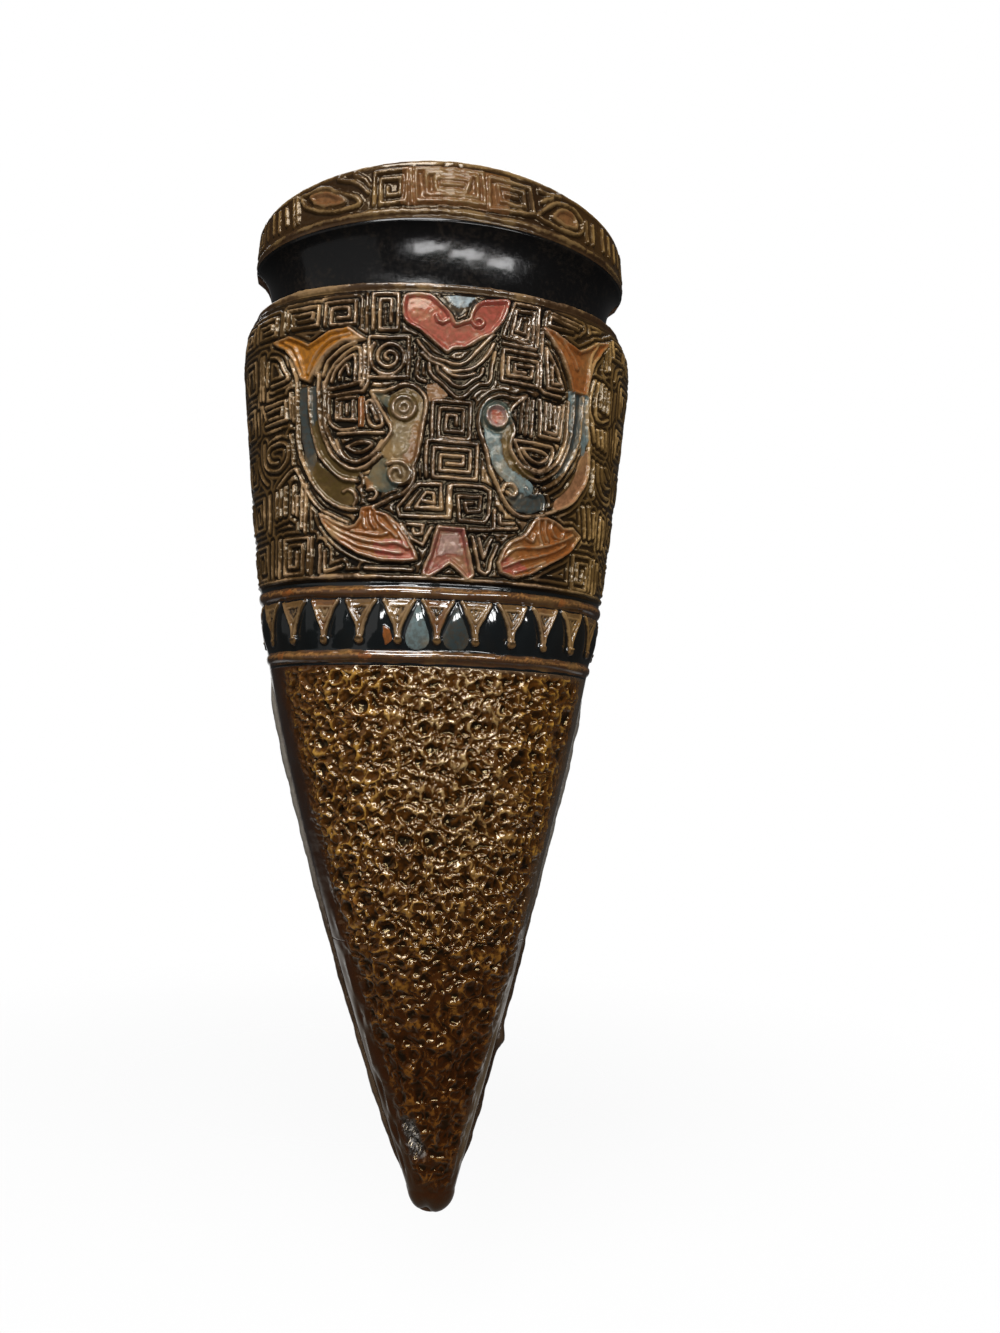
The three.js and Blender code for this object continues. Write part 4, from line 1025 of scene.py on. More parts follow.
plumeLines = [bent(t) for t in (
    "-21.5,124.4 -18.5,122.4 -15,121 -11.5,120.3 -8.5,120.4 -6.4,119.4",
    "-20.3,122.7 -17.5,120.9 -14,119.6 -10.5,118.9 -7.5,118.6", "-16.4,122.3 -14.2,121.9 -12,121.6 -10,122",
    "-14.2,126 -14.1,123.7 -13.6,122.7", "-13.2,126.1 -13,124 -12.2,122.8",
    "-12.4,125.4 -11.4,123.7 -9.8,122.6 -8.4,121.2", "-10.3,124.8 -8.9,123.1 -7.6,121.2 -6.8,119.8",
    "10.4,118.6 12.5,120.5 15.6,121 18.4,121.6 21.6,122.8 24.8,124.4",
    "10.4,117.1 13,118.3 16.4,119.4 20,120.7 23,122.4", "12.6,116.3 15.6,117.4 18.6,118.8",
    "17,126.2 17.2,123.6 17.9,122", "18.3,126.4 18.5,124 19.2,122.6",
    "19.8,126 19.9,124.4 20.8,123.4 22.2,123.6 22.6,124.6", "14.6,122.6 15.8,122.2 16.4,123.6",
    "17,160 19.6,157.6 21.4,154.8 23,151.6", "18.5,160.2 21,158.6 22.8,156.6 24.2,154.4",
    "29.5,160.5 27.6,157.4 26.9,153", "-31,156.6 -28.8,155.2 -27.4,152.6 -26.6,150.2",
    "-18,156.8 -21.6,156 -24.4,153.6 -25.8,150.6",
)]

leftHead, rightHead = (-8.0, 143.8), (8.3, 143.4)
bold = [
    *map(loop, (mask, tab, leftFork, rightFork, leftPlume, rightPlume)),
    birdEdge, birdInner, birdArc, tailOuter, tailMiddle, rightEdge, rightInner, rightTail, tailLine,
    ring(*leftHead, 1.9), ring(*rightHead, 1.9), curls[0], curls[3], plot("-50,165.9 0,165.9 50,165.9"),
]
fine = [
    tailEcho, mirrored(birdArc), plot("-46,114.4 46,114.4"), *brows, *middleFrets, *leftFrets, *rightFrets,
    *plumeLines, curls[1], curls[2], curls[4], curls[5], ring(*leftHead, 0.8, 12),
]
# paint, swell and shape; a later pad lies over an earlier one
pads = [
    ("bark", 0.0, plot("-52,165.3 52,165.3 52,168 -52,168")),
    ("dark", 0.0, plot("-2.6,164 0.4,160.4 1.4,160.6 4.6,164")),
    # painted highlight: a pale blue patch at the top between the mask's wings, where the glossy recess
    # catches the light
    ("skyHighlight", 0.1, plot("-1.2,164.2 0.2,162.5 1.2,161.9 2.2,162.4 4,164.2")),
    ("coral", 0.4, mask), ("rose", 0.3, tab),
    ("ash", 0.5, plot("-0.5,122.4 2.3,122.4 3,119.6 3,118.4 0.9,119 -1.2,118.2 -1.2,119.6")),
    ("ochre", 1.0, leftFork), ("rust", 1.0, rightFork), ("orange", 1.2, leftPlume),
    ("coral", 1.2, plot("-12.6,120 -9,121.2 -6.6,120.4 -5.2,118 -8,117.4 -12,118.2")),
    ("orange", 1.2, rightPlume),
    ("coral", 1.2, plot("9.9,117.6 10.4,116.3 12.4,115.8 15.2,117 13,118.6 11,119")),
    *((paint, 0.7, band) for paint, band in tailBands),
    ("peach", 0.9, tailFoot), ("tan", 0.8, neckPad), ("sand", 1.0, neckPatch), ("copper", 0.8, neckSide),
    ("teal", 0.8, chestPad), ("tan", 1.0, disc(-8.5, 132.3, 1.8)),
    ("copper", 0.8, plot("-14.4,131.6 -13.4,131.4 -12.6,129.6 -13.6,129.4")),
    ("teal", 0.8, plot("-13.3,146.5 -10.4,145.6 -10.2,143.4 -11.8,144.8")),
    ("olive", 0.8, rightNape), ("mist", 1.1, rightNeck), ("teal", 0.7, disc(8.2, 143.3, 2.9)),
    ("olive", 0.8, disc(-7.9, 144, 2.8)),
    ("copper", 0.3, plot("-4,147.8 -2.6,148.2 -0.6,146.2 -2.6,145.2 -3.8,145.4")),
    ("tan", 1.0, disc(*leftHead, 1.8)), ("ash", 1.0, disc(*rightHead, 1.8)),
    ("coral", 1.0, disc(*rightHead, 1.1)),
    ("rust", 0.4, plot("-15.9,145.6 -15.1,145.6 -15.1,140.6 -15.9,140.6")),
]
padStep = 0.002  # mm from one pad down to the next


def lineDrawing(name, lines):
    mesh = bpy.data.meshes.new(name)
    points, edges = [], []
    for line in lines:
        edges += [(len(points) + i, len(points) + i + 1) for i in range(len(line) - 1)]
        points += [(x, y, 0.0) for x, y in line]
    mesh.from_pydata(points, edges, [])
    return linkObject(name, mesh)


def padDrawing(name, shapes):
    mesh = bpy.data.meshes.new(name)
    points, faces, tints = [], [], []
    for depth, (paint, swell, shape) in enumerate(reversed(shapes)):
        faces.append(list(range(len(points), len(points) + len(shape))))
        points += [(x, y, -padStep * depth) for x, y in shape]
        tints.append((*paints[paint], swell))
    mesh.from_pydata(points, [], faces)
    setAttribute(mesh, "paint", "FLOAT_COLOR", "FACE", np.array(tints))
    return linkObject(name, mesh)


def removePiece(piece):
    mesh = piece.data
    bpy.data.objects.remove(piece)
    bpy.data.meshes.remove(mesh)


def pressRelief(piece, name, boldLines, fineLines, padShapes, values):
    drawings = {
        "Bold Lines": lineDrawing(name + "Bold", boldLines),
        "Fine Lines": lineDrawing(name + "Fine", fineLines),
        "Pads": padDrawing(name + "Pads", padShapes),
    }
    settle(piece, moulder, {**drawings, **values, "Inside": rawClay})
    for drawing in drawings.values():
        removePiece(drawing)
    print(name, "pressed:", len(piece.data.polygons), "faces")


# ornament band, from over the upper bead to the crease of the neck
ornament = {
    "low": 113.6, "high": crease, "row": 0.22, "width": 36, "fine": 0.21, "coarse": 0.5,
    "fadeHigh": 0.8, "fadeLow": 0.6,
    "relief": {"Bold Width": 0.6, "Bold Height": 0.9, "Fine Width": 0.49, "Fine Height": 0.75, "Echo": 0.6,
               "Echo Pitch": 1.15, "Unevenness": 0.2, "Wander": 0.25, "Seed": 3.0},
}
ornamentRows = rowsFor(ornament["low"], ornament["high"], ornament["row"])
ornamentPress = np.clip((ornament["high"] - ornamentRows) / ornament["fadeHigh"], 0, 1)
ornamentPress *= np.clip((ornamentRows - ornament["low"]) / ornament["fadeLow"], 0, 1)
ornamentBand = pressedWall("ornamentBand", ornamentRows, columnsFor(ornament), ornamentPress)
pressRelief(ornamentBand, "ornament", bold, fine, pads, {**ornament["relief"], "Outside": ornamentLacquer})


# rim band with its rounded lip
rim = {
    "row": 0.22, "width": 35.5, "fine": 0.22, "coarse": 0.5, "fadeLow": 0.8,
    "lipSteps": 7, "topSteps": 3, "lipPress": (0.9, 0.2), "innerGap": 0.3,
    "relief": {"Bold Width": 0.7, "Bold Height": 0.4, "Fine Width": 0.6, "Fine Height": 0.6,
               "Unevenness": 0.2, "Wander": 0.3, "Seed": 11.0},
}
lip, wall, lipSteps, topSteps = vase["lip"], vase["wall"], rim["lipSteps"], rim["topSteps"]
lipFoot, (lipPress, topPress) = rimTop - lip, rim["lipPress"]
lipTurn = np.linspace(0, math.pi / 2, lipSteps + 1)[1:]
rimWall = np.linspace(rimFoot, lipFoot, int((rimTop - rimFoot) / rim["row"]))
lipRise = lipFoot + lip * np.sin(lipTurn)
rimRows = np.concatenate([rimWall, lipRise, [rimTop] * topSteps, lipRise[::-1], [lipFoot]])
rimInsets = np.concatenate([
    0 * rimWall, lip - lip * np.cos(lipTurn), np.linspace(lip, wall - lip, topSteps + 2)[1:-1],
    wall - lip + lip * np.cos(lipTurn[::-1]), [wall]])
rimPress = np.concatenate([
    np.clip((rimWall - rimFoot) / rim["fadeLow"], 0, 1), np.linspace(lipPress, topPress, lipSteps),
    [topPress] * topSteps, np.linspace(topPress, 0, lipSteps + 1)])
leftEye = "-27,181.6 -23.9,181.3 -20.1,179.1 -23.25,179 -26.1,180.2"
rightEye = "18.4,179.2 20.4,181 23,181 23.8,179.4 21,178.7"
rimFine = [plot(t) for t in (
    "-7.3,182.5 4.6,182.5 5.2,178.2 -6.8,178 -7.3,182.5",
    "-5.4,181.9 3.6,181.9 3.8,178.9 -5.2,178.9 -5.4,181.9",
    "-3.9,181.25 2.4,181.25 1.75,179.5 -3.6,179.5 -3.9,181.25", "-2.8,180.4 1.2,180.4",
    "5.8,182.2 13.6,182.2 14.6,178.4 6.1,177.8 5.8,182.2",
    "7.4,181.25 12.4,181.25 12.8,179.1 8,179 7.4,181.25", "8.9,180.2 11.2,180.3", "-8.2,182.5 -7.6,177.8",
    "-31,182.8 -30.75,177.8", "-30.1,182.6 -29.9,178", "-37.3,182.5 -36.7,178.75",
    "-33.2,181.9 -32.6,178.75", "-35.2,182.2 -34.8,178.2", "-39.6,182 -39,178.6", "26.4,181.25 26.75,178.1",
    "28.2,181.6 28.4,178.4", "31.1,182.2 31.6,178.6", "33.4,182 33.8,178.8", "36,182 36.2,178.6",
    "38.4,182.2 38.6,178.8", "46.2,182.2 46.2,178.4", "-46.8,182.2 -46.8,178.4",
    "-21.4,182.8 -18.2,181.7 -15.8,179.8", "-18.4,182.9 -16.4,181.8 -15.6,180.9",
    "15.6,182.5 17.6,182.3 20,182.9", "16,180.8 17,181.4 18.2,182",
)] + [
    squareFret(-11.7, 180.2, 5.8, 4.7), squareFret(-43.2, 180.2, 4.4, 4.4),
    squareFret(42.6, 180.2, 4.4, 4.4, -1),
] + [loop(bent(t, 4)) for t in (
    "-29.2,182.3 -24.5,182.2 -20.75,180.5 -17,178.5 -20.75,177.8 -25.1,178.6 -28.25,180.3", leftEye,
    "15.2,178.4 18.6,181.25 22.4,182.2 25.5,180.6 24.25,178.4 19.9,177.8", rightEye,
)]
rimBold = [plot("-48,176.7 -24,176.6 0,176.6 24,176.6 48,176.7"), plot("-48,183.6 0,183.7 48,183.6")]
rimPads = [
    ("bark", 0.0, plot("-50,175 50,175 50,176.9 -50,176.9")),
    ("copper", 0.0, plot("-9.6,177.6 9.6,177.6 9.6,182.8 -9.6,182.8")),
    ("copper", 0.5, bent(leftEye, 3)), ("copper", 0.5, bent(rightEye, 3)),
]
rimBand = pressedWall(
    "rimBand", rimRows, columnsFor(rim), rimPress, rimInsets, innerTop=lipFoot - rim["innerGap"])
pressRelief(rimBand, "rim", rimBold, rimFine, rimPads, {**rim["relief"], "Outside": rimLacquer})


# neck cove, smooth and black
neck = {"row": 0.35, "width": 33.5, "fine": 0.4, "coarse": 0.7, "fade": 1.0, "wave": 0.35, "dent": 0.1}
neckRows = rowsFor(crease, rimFoot, neck["row"])
neckPress = np.clip(np.minimum(neckRows - crease, rimFoot - neckRows) / neck["fade"], 0, 1)
neckCove = pressedWall("neckCove", neckRows, columnsFor(neck), neckPress)
settle(neckCove, smoother, {
    "Wave": neck["wave"], "Dent": neck["dent"], "Outside": neckLacquer, "Inside": rawClay})
print("neck smoothed:", len(neckCove.data.polygons), "faces")


# band of hanging lappets between two beads; each bead has its middle, radius and how proud it stands
lappet = {
    "low": 99.1, "high": ornament["low"], "row": 0.2, "width": 31.5, "fine": 0.2, "coarse": 0.45, "fade": 0.8,
    "beads": ((vase["lowerBead"], 0.9, 0.65), (vase["upperBead"], 1.05, 0.8)),
    "beadWaves": ((0.2, 3.1, 1), (0.1, 11, 2)), "beadSides": 0.75, "beadThin": 0.45, "beadEnds": 46,
    "beadBelow": (1.1, 0.9), "beadAbove": 0.8, "beadHighlightAbove": 0.5, "rubbedTall": 0.6,
    "eachSide": 6, "pitch": 6.73, "first": -0.8, "cell": 0.8, "cellLow": 102, "cellTall": 8.8,
    "relief": {"Bold Width": 0.55, "Bold Height": 0.75, "Fine Width": 0.4, "Fine Height": 0.45,
               "Pad Height": 0.4, "Unevenness": 0.06, "Wander": 0.3, "Seed": 19.0},
}


# two beads, and the cushions between the lappets
def beadLift(reach, height):
    lift = 0.0
    for middle, radius, proud in lappet["beads"]:
        uneven = sum(deep * np.sin(often * reach + turns * middle)
                     for deep, often, turns in lappet["beadWaves"])
        bulge = np.sqrt(np.maximum(radius**2 - (height - middle - uneven) ** 2, 0))
        lift = lift + np.maximum(0, bulge - radius + proud)
    sides = [lappet["beadSides"] * quarter, quarter]
    lift = lift * np.interp(np.abs(reach), sides, [1.0, lappet["beadThin"]])
    arc = reach * halfWidth(height)
    upright = np.sin(math.pi * np.clip((height - lappet["cellLow"]) / lappet["cellTall"], 0, 1))
    across = np.sin(math.pi * (arc - lappet["first"]) / lappet["pitch"]) ** 2
    return lift + lappet["cell"] * (across * upright)


def lappetAt(i):
    return (lappet["first"] + lappet["pitch"] * i, 0)


lappetBold, lappetFine, lappetPads = [], [], []
side = bent("2.55,110.4 1.8,109 1.1,107.4 0.48,105.8 0.24,104.2", 3)
otherSide = side * (-1, 1)
for i in range(-lappet["eachSide"], lappet["eachSide"] + 1):
    spot = lappetAt(i)
    lappetBold += [side + spot, otherSide + spot]
    lappetFine.append(plot("-1.5,109.5 0,106.9 1.5,109.5 -1.5,109.5") + spot)
    lappetFine.append(plot("-0.5,109 0,108.1 0.5,109") + spot)
    lappetPads += [
        ("honey" if i % 3 else "copper", 1.0, np.vstack([side, otherSide[::-1]]) + spot),
        ("umber", 0.6, plot("-1.1,109.2 0,107.3 1.1,109.2") + spot),
        ("honey", 2.2, disc(spot[0], 103.6, 0.6, 10)),
    ]
# pale drops in two cells: painted reflection of the light in the glossy cells; a rust patch in a third
reflectionDrop = bent("0,109.6 0.9,107.7 2.0,105.4 2.3,103.7 1.6,102.5 0,102.1", 4)
reflectionDrop = np.vstack([reflectionDrop, reflectionDrop[-2:0:-1] * (-1, 1)])
lappetPads += [
    ("mist", 0.3, reflectionDrop * (0.8, 1) + lappetAt(-0.5)),
    ("slate", 0.3, reflectionDrop * (0.9, 1) + lappetAt(0.5)),
    ("rust", 0.5, plot("1.0,105.8 1.8,105.2 2.2,103.6 1.4,102.8 0.9,104.2") + lappetAt(-1.5)),
]
ends = lappet["beadEnds"]
# each bead painted brown, its upper half lighter: painted highlight where the light falls on its top
for bead, below in zip(lappet["beads"], lappet["beadBelow"]):
    for paint, down, up in (("bead", below, lappet["beadAbove"]), ("beadHighlight", 0, lappet["beadHighlightAbove"])):
        low, high = bead[0] - down, bead[0] + up
        lappetPads.append((paint, 0.0, np.array([(-ends, low), (ends, low), (ends, high), (-ends, high)])))
# beads rubbed to the clay: arc, bead and width of each spot
for x, bead, wide in (
    (-29, "upperBead", 1.5), (-13.2, "lowerBead", 1.2), (-31, "lowerBead", 1.0), (23, "upperBead", 0.8),
):
    lappetPads.append(("rust", 0.0, disc(0, 0, 1.0, 12) * (wide, lappet["rubbedTall"]) + (x, vase[bead])))
lappetRows = rowsFor(lappet["low"], lappet["high"], lappet["row"])
lappetEdge = np.minimum(lappetRows - lappet["low"], lappet["high"] - lappetRows)
lappetPress = np.clip(lappetEdge / lappet["fade"], 0, 1)
lappetBand = pressedWall("lappetBand", lappetRows, columnsFor(lappet), lappetPress, lift=beadLift)
pressRelief(lappetBand, "lappets", lappetBold, lappetFine, lappetPads, {
    **lappet["relief"], "Outside": lappetLacquer})


# the stippled cone, in two stretches, over the same lumps as the solid
cone = {
    "foot": 0.02, "split": 50.0, "floor": 27.0, "row": 0.2, "fine": 0.19, "coarse": 0.5,
    "widths": (13, 25), "footFade": (-1.0, 4.0), "topFade": 0.4,
    "lump": 0.45, "lumpRows": 24, "lumpColumns": 48, "noseRows": 6, "lumpFade": 8.0, "beadGap": 1.4,
    "lumpSides": (0.2, 0.5), "scatter": (43758.5453, 12.9898, 78.233),
    "fieldTop": (99.4, 1.2), "fieldFoot": (2.0, 5.0), "marginSides": (38, 5),
    "chip": (-3.6, 14.6), "chipSize": (1.5, 3.6), "chipLean": 0.3, "chipEdge": 6,  # where the glaze broke off
    "chipRipple": 0.7, "chipDeep": 0.35, "ripples": ((2.6, 0.9), (1.7, 1.1, 0.6)),
    "notch": (-1.3, 0.0), "notchSize": (1.2, 2.6), "notchDeep": 0.8,
    "stipple": {"Pit Size": 3.9, "Rim Height": 0.6, "Pit Depth": 0.12, "Wander": 1.3, "Crinkle": 0.55,
                "Worn": 0.36, "Left Margin": 7.0, "Right Margin": 5.0, "Seed": 7.0},
}
lumpHeights = splinePoints(vase["flank"], cone["lumpRows"] // 2)[:cone["lumpRows"] + 1, 1]


def rampUp(value, start, full):
    t = np.clip((value - start) / (full - start), 0, 1)
    return t * t * (3 - 2 * t)


# the part's own scatter, so that the lumps fall where the solid has them
def scattered(row, column):
    far, rowStep, columnStep = cone["scatter"]
    value = far * np.sin(rowStep * (row + cone["noseRows"]) + columnStep * (column % cone["lumpColumns"]))
    return 2 * (value - np.floor(value)) - 1


def chipShare(arc, height):
    (x, y), (wide, tall) = cone["chip"], cone["chipSize"]
    lean = arc - x + cone["chipLean"] * (height - y)
    return np.exp(-((lean / wide) ** cone["chipEdge"]) - ((height - y) / tall) ** cone["chipEdge"])


def coneLift(reach, height):
    turn = turnAt(reach)
    row = np.interp(height, lumpHeights, np.arange(len(lumpHeights)))
    column = turn * cone["lumpColumns"] / (2 * math.pi) - 0.5
    low, left = np.floor(row), np.floor(column)
    up, across = row - low, column - left
    lump = ((scattered(low, left) * (1 - across) + scattered(low, left + 1) * across) * (1 - up)
            + (scattered(low + 1, left) * (1 - across) + scattered(low + 1, left + 1) * across) * up)
    bead, fade = vase["lowerBead"] - cone["beadGap"], cone["lumpFade"]
    lump *= cone["lump"] * rampUp(height, nose, nose + fade) * rampUp(bead - height, 0, fade)
    lump *= rampUp(np.cos(turn), *cone["lumpSides"])
    arc = reach * halfWidth(height)
    (x, y), (wide, tall) = cone["notch"], cone["notchSize"]
    notch = cone["notchDeep"] * np.exp(-(((arc - x) / wide) ** 2)) * np.exp(-(((height - y) / tall) ** 2))
    (a, b), (c, d, e) = cone["ripples"]
    ripple = np.sin(a * arc + b * height) * np.sin(c * height - d * arc + e)
    return lump - notch + (cone["chipRipple"] * ripple - cone["chipDeep"]) * chipShare(arc, height)


def conePiece(name, low, high, width, floor=None):
    rows = rowsFor(low, high, cone["row"])
    start, fade = cone["footFade"]
    press = np.clip((rows - start) / fade, 0, 1) * np.clip((lappet["low"] - rows) / cone["topFade"], 0, 1)
    columns = columnsFor({**cone, "width": width})
    piece = pressedWall(name, rows, columns, press, lift=coneLift, floor=floor)
    flat = np.empty(len(piece.data.vertices) * 3, np.float32)
    piece.data.attributes["flat"].data.foreach_get("vector", flat)
    arc, height = flat.reshape(-1, 3)[:, 0], flat.reshape(-1, 3)[:, 1]
    side = quarter * halfWidth(height)
    chip = chipShare(arc, height)
    (top, topFade), (foot, footFade) = cone["fieldTop"], cone["fieldFoot"]
    inside = np.clip((top - height) / topFade, 0, 1) * np.clip((height - foot) / footFade, 0, 1) * (1 - chip)
    usual, least = cone["marginSides"]
    stretch = np.sqrt(usual / np.maximum(side, least))  # the margins narrow less than the cone does
    gaps = np.stack([(side + arc) * stretch, (side - arc) * stretch, inside], 1)
    setAttribute(piece.data, "seamGap", "FLOAT_VECTOR", "POINT", gaps)
    setAttribute(piece.data, "chip", "FLOAT", "POINT", chip)
    return settle(piece, stippler, {**cone["stipple"], "Outside": coneGlaze, "Inside": rawClay})


lowerWidth, upperWidth = cone["widths"]
coneUpper = conePiece("coneUpper", cone["split"], lappet["low"], upperWidth)
coneLower = conePiece("coneLower", cone["foot"], cone["split"], lowerWidth, cone["floor"])
print("cone stippled:", len(coneUpper.data.polygons) + len(coneLower.data.polygons), "faces")


# back slab, wiped flat, with the nail hole: radius and depth at each step of its flared edge
slab = {
    "foot": 0.02, "noseRows": 8, "wallFrom": 4.6, "row": 1.0, "columns": 64, "edge": 1.5, "edgeShare": 0.6,
    "edgeSteps": 6, "footRound": 2.0, "pressDeep": 2.0, "wave": 0.3, "dent": 0.12, "seed": 9.0,
    "holeSides": 48, "hole": ((4.4, 2.0), (4.4, 0.3), (3.77, -0.4), (3.5, -1.2), (3.5, -8.0)),
}


def slabPiece():
    noseTurn = np.linspace(0, math.pi / 2, slab["noseRows"] + 1)[:-1]
    heights = np.concatenate([
        slab["foot"] + nose * (1 - np.cos(noseTurn)),
        np.arange(slab["wallFrom"], rimTop, slab["row"]), [rimTop]])
    width = halfWidth(heights)
    edge = np.minimum(slab["edge"], slab["edgeShare"] * width)
    turn = np.linspace(0, math.pi / 2, slab["edgeSteps"])
    spread = np.linspace(-1, 1, slab["columns"])
    rows = []
    for h, w, e in zip(heights, width, edge):
        inwards = min(1.0, h / slab["footRound"], (rimTop - h) / slab["edge"])
        back = -slab["edge"] * (1 - math.sqrt(1 - (1 - inwards) ** 2))
        left = [(-w + e - e * math.cos(t), -e + e * math.sin(t)) for t in turn]
        middle = [((w - e) * s, 0.0) for s in spread[1:-1]]
        right = [(w - e + e * math.cos(t), -e + e * math.sin(t)) for t in turn[::-1]]
        profile = [(-w, -vase["slab"])] + left + middle + right + [(w, -vase["slab"])]
        lean = float(sway(h))
        rows.append([(x + lean, min(y, back) if y > -e else y, h - vase["hole"]) for x, y in profile])
    points = mm * np.array(rows)
    count = points.shape[1]
    faces = []
    for i in range(len(rows) - 1):
        for j in range(count - 1):
            a = i * count + j
            faces.append((a, a + count, a + count + 1, a + 1))
        faces.append((i * count, i * count + count - 1, (i + 1) * count + count - 1, (i + 1) * count))
    faces += [tuple(range(count)), tuple((len(rows) - 1) * count + j for j in range(count - 1, -1, -1))]
    mesh = bpy.data.meshes.new("backSlab")
    mesh.from_pydata(points.reshape(-1, 3).tolist(), [], faces)
    facing = gridNormals(points.swapaxes(0, 1)).swapaxes(0, 1)
    weight = np.where(np.abs(points[..., 1]) < slab["pressDeep"] * mm, 1.0, 0.0)
    facing = np.where(facing[..., 1:2] < 0, -facing, facing)
    setAttribute(mesh, "wallNormal", "FLOAT_VECTOR", "POINT", facing.reshape(-1, 3))
    setAttribute(mesh, "press", "FLOAT", "POINT", weight.ravel())
    setAttribute(mesh, "outerFace", "BOOLEAN", "FACE", np.ones(len(faces), bool))
    mesh.polygons.foreach_set("use_smooth", [True] * (len(faces) - 2) + [False] * 2)
    mesh.update()
    piece = linkObject("backSlab", mesh)
    return settle(piece, smoother, {
        "Wave": slab["wave"], "Dent": slab["dent"], "Seed": slab["seed"],
        "Outside": backClay, "Inside": backClay})


def holePlug():
    turn = np.linspace(0, 2 * math.pi, slab["holeSides"] + 1)[:-1]
    stages, n = slab["hole"], slab["holeSides"]
    points = [(mm * r * math.cos(t), mm * y, mm * r * math.sin(t)) for r, y in stages for t in turn]
    faces = [(k * n + i, k * n + (i + 1) % n, (k + 1) * n + (i + 1) % n, (k + 1) * n + i)
             for k in range(len(stages) - 1) for i in range(n)]
    faces += [tuple(range(n))[::-1], tuple((len(stages) - 1) * n + i for i in range(n))]
    mesh = bpy.data.meshes.new("plug")
    mesh.from_pydata(points, [], faces)
    mesh.update()
    return linkObject("plug", mesh)


def pierce(piece, plug):
    cut = piece.modifiers.new("nail hole", "BOOLEAN")
    cut.operation, cut.solver, cut.object = "DIFFERENCE", "EXACT", plug
    settleModifier(piece)
    removePiece(plug)


backSlab = slabPiece()
pierce(backSlab, holePlug())
print("slab ready:", len(backSlab.data.polygons), "faces")


# slip squeezed out along the seams of the cone, and coils pressed into the inner corners
slips = {
    "low": 8.0, "high": 97.8, "steps": 220, "sunk": 0.05, "endFade": 5.0, "thinnest": 0.15,
    "lump": 1.1, "lumpTall": 2.2, "rod": {"Radius": 0.75, "Uneven": 0.6, "Grain": 0.25, "Sides": 12},
}
coils = {
    "low": 28.0, "high": 152.0, "steps": 160, "inwards": 1.12, "forward": 0.96, "endFade": 6.0,
    "thinnest": 0.3, "fullWidth": 16.0, "rod": {"Radius": 1.92, "Uneven": 0.35, "Grain": 0.16, "Sides": 14},
}


def pathPiece(name, settings, x, y, heights, taper):
    points = mm * np.stack([x, np.full_like(x, y), heights - vase["hole"]], 1)
    toEnd = np.minimum(heights - settings["low"], settings["high"] - heights)
    ends = np.clip(toEnd / settings["endFade"], settings["thinnest"], 1)
    mesh = bpy.data.meshes.new(name)
    mesh.from_pydata(points.tolist(), [(i, i + 1) for i in range(len(points) - 1)], [])
    setAttribute(mesh, "taper", "FLOAT", "POINT", ends * taper)
    return linkObject(name, mesh)


def slipPiece(name, side, seed, lumps=()):
    heights = np.linspace(slips["low"], slips["high"], slips["steps"])
    x = sway(heights) + side * (halfWidth(heights) - slips["sunk"])
    swell = 1 + sum(slips["lump"] * np.exp(-((heights - lump) / slips["lumpTall"]) ** 2) for lump in lumps)
    path = pathPiece(name, slips, x, vase["seam"], heights, swell)
    return settle(path, squeezer, {**slips["rod"], "Seed": seed, "Outside": slipGlaze})


def coilPiece(name, side, seed):
    heights = np.linspace(coils["low"], coils["high"], coils["steps"])
    width = halfWidth(heights)
    x = sway(heights) + side * (width - vase["wall"] - coils["inwards"])
    taper = np.clip(width / coils["fullWidth"], coils["thinnest"], 1)
    path = pathPiece(name, coils, x, vase["seam"] - coils["forward"], heights, taper)
    return settle(path, squeezer, {**coils["rod"], "Seed": seed, "Outside": rawClay})


slipLeft, slipRight = slipPiece("slipLeft", -1, 4.0), slipPiece("slipRight", 1, 8.0, (31.5,))
coilLeft, coilRight = coilPiece("coilLeft", -1, 14.0), coilPiece("coilRight", 1, 21.0)
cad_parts["tip_wad"].data.materials.clear()
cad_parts["tip_wad"].data.materials.append(rawClay)
print("seams ready")


# which node each piece stands for, and a name for its finish, which the loop leaves unused
for piece, node, slotName in (
    (ornamentBand, "front_shell", "lacquered_relief"), (rimBand, "front_shell", "lacquered_relief"),
    (neckCove, "front_shell", "lacquered_relief"), (lappetBand, "front_shell", "lacquered_relief"),
    (coneUpper, "front_shell", "lacquered_relief"), (coneLower, "front_shell", "lacquered_relief"),
    (backSlab, "back_slab", "back_clay"),
    (slipLeft, "seam_slip_left", "slip_ridge"), (slipRight, "seam_slip_right", "slip_ridge"),
    (coilLeft, "seam_coil_left", "raw_clay"), (coilRight, "seam_coil_right", "raw_clay"),
):
    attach(piece, "root")
    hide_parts(node)


# camera as in the photo: a little left of the middle, low, looking slightly right and up; degrees and mm
view = {"yaw": 7.995, "tilt": 5.306, "roll": 1.51, "away": 230.284, "shift": (-13.455, -1.034), "height": 100,
        "focal": 1200.0, "tall": 1333.0, "sensor": 36, "clip": 0.01}


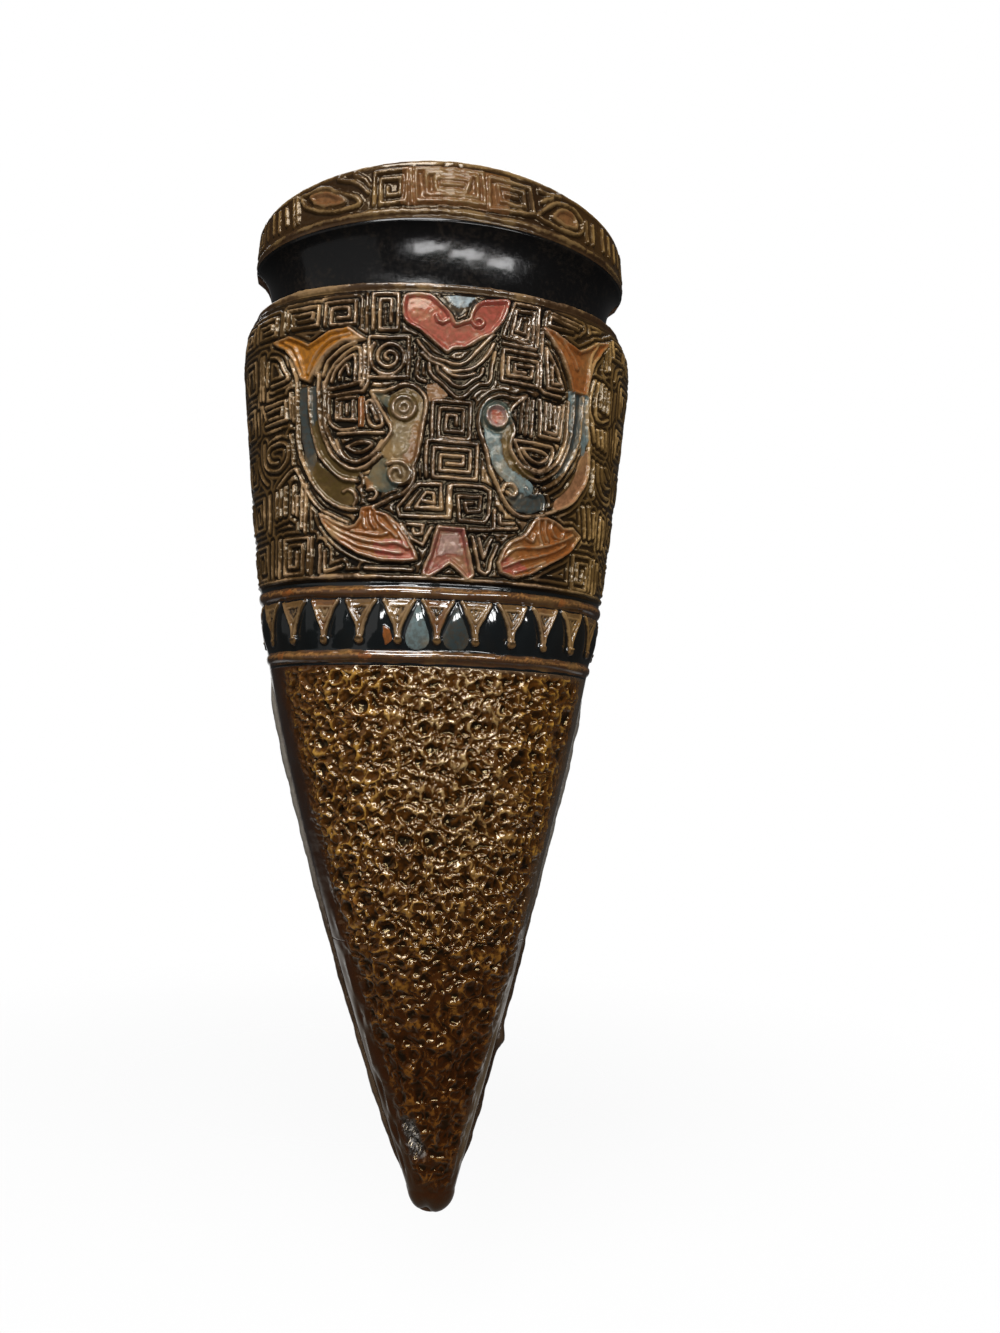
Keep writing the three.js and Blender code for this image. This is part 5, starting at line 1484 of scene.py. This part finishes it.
def placeCamera():
    yaw, tilt, roll = (math.radians(view[k]) for k in ("yaw", "tilt", "roll"))
    level = Vector((math.cos(yaw), -math.sin(yaw), 0))
    rising = Vector((-math.sin(yaw) * math.sin(tilt), -math.cos(yaw) * math.sin(tilt), math.cos(tilt)))
    ahead = Vector((math.sin(yaw) * math.cos(tilt), math.cos(yaw) * math.cos(tilt), math.sin(tilt)))
    right = math.cos(roll) * level + math.sin(roll) * rising
    up = -math.sin(roll) * level + math.cos(roll) * rising
    place = -view["shift"][0] * right - view["shift"][1] * up - view["away"] * ahead
    place += Vector((0, vase["seam"], view["height"] - vase["hole"]))
    data = bpy.data.cameras.new("camera")
    data.sensor_width = view["sensor"]
    data.lens = view["sensor"] * view["focal"] / view["tall"]
    data.clip_start = view["clip"]
    camera = linkObject("camera", data)
    turn = Matrix((right, up, -ahead)).transposed().to_4x4()
    camera.matrix_world = Matrix.Translation(mm * place) @ turn
    scene.camera = camera


# plain pale floor under the tip, and a white world to the eye
stage = {
    "floorDrop": 24.0, "left": -0.4, "right": 0.4, "front": -0.2, "back": 0.6, "paper": (0.8, 0.8, 0.8, 1.0),
    "paperRough": 0.9, "paperGloss": 0.1, "glow": 0.88, "middle": (0, 0.2, 0), "near": 0.0, "far": 0.27,
    "white": (1.0, 1.0, 1.0, 1.0), "ambient": 0.038, "backdrop": (0.9, 1.0),
}


# paper under the vase that fades out into the white world
def layFloor():
    z = mm * (-vase["hole"] - stage["floorDrop"])
    left, right, front, back = (stage[k] for k in ("left", "right", "front", "back"))
    mesh = bpy.data.meshes.new("floor")
    corners = [(left, front, z), (right, front, z), (right, back, z), (left, back, z)]
    mesh.from_pydata(corners, [], [(0, 1, 2, 3)])
    floor = linkObject("floor", mesh)
    finish, tree, shader = newFinish("floorPaper", {
        "Base Color": stage["paper"], "Roughness": stage["paperRough"],
        "Specular IOR Level": stage["paperGloss"]})
    path = addNode(tree, "ShaderNodeLightPath", {}).outputs
    mirror = most(tree, path["Is Glossy Ray"], path["Is Transmission Ray"])
    seen = most(tree, path["Is Camera Ray"], mirror)
    glow = addNode(tree, "ShaderNodeEmission", {"Strength": 1.0}).outputs[0]
    lit = addNode(tree, "ShaderNodeMixShader", {
        0: times(tree, seen, stage["glow"]), 1: shader.outputs[0], 2: glow}).outputs[0]
    level = vectors(tree, "MULTIPLY", addNode(tree, "ShaderNodeTexCoord", {}).outputs["Object"], (1, 1, 0))
    level = vectors(tree, "SUBTRACT", level, stage["middle"])
    away = addNode(tree, "ShaderNodeVectorMath", {0: level}, operation="LENGTH").outputs["Value"]
    clear = addNode(tree, "ShaderNodeBsdfTransparent", {}).outputs[0]
    mixed = addNode(tree, "ShaderNodeMixShader", {
        0: eased(tree, away, stage["near"], stage["far"]), 1: lit, 2: clear})
    tree.links.new(mixed.outputs[0], tree.nodes["Material Output"].inputs["Surface"])
    mesh.materials.append(finish)


# white to the eye all round; gloss mirrors the white backdrop behind the vase and a dimmer room before it
def lightWorld():
    world = bpy.data.worlds.new("studio")
    scene.world = world
    world.use_nodes = True
    tree = world.node_tree
    path = addNode(tree, "ShaderNodeLightPath", {}).outputs
    facing = parted(tree, addNode(tree, "ShaderNodeTexCoord", {}).outputs["Generated"])[1]
    mirror = most(tree, path["Is Glossy Ray"], path["Is Transmission Ray"])
    white = most(tree, path["Is Camera Ray"], times(tree, mirror, eased(tree, facing, *stage["backdrop"])))
    back = tree.nodes["Background"]
    back.inputs["Color"].default_value = stage["white"]
    strength = sums(tree, "MULTIPLY_ADD", white, 1 - stage["ambient"], stage["ambient"])
    tree.links.new(strength, back.inputs["Strength"])


# soft lamps by place, size and power; the three panes show as a window in the lacquer
lampAim = (0, -0.02, -0.06)
lamps = {
    "key": ((-0.2, -0.6, 0.62), (0.45, 0.3), 6.0),
    "side": ((-0.75, -0.5, 0.1), (0.9, 0.9), 0.5),
    "behind": ((0, 0.55, 0.8), (0.9, 0.9), 6.0),
    "pane0": ((-0.127, -0.918, 0.08), (0.22, 0.14), 1.3),
    "pane1": ((0.173, -0.903, 0.143), (0.22, 0.14), 1.3),
    "pane2": ((0.426, -0.804, 0.198), (0.22, 0.14), 1.3),
}


def softLight(name, place, size, power):
    data = bpy.data.lights.new(name, "AREA")
    data.shape, data.energy = "RECTANGLE", power
    data.size, data.size_y = size
    lamp = linkObject(name, data)
    lamp.location = place
    lamp.rotation_euler = (Vector(lampAim) - Vector(place)).to_track_quat("-Z", "Y").to_euler()


placeCamera()
layFloor()
lightWorld()
for name, settings in lamps.items():
    softLight(name, *settings)
scene.view_settings.view_transform = "Standard"
print("stage ready")
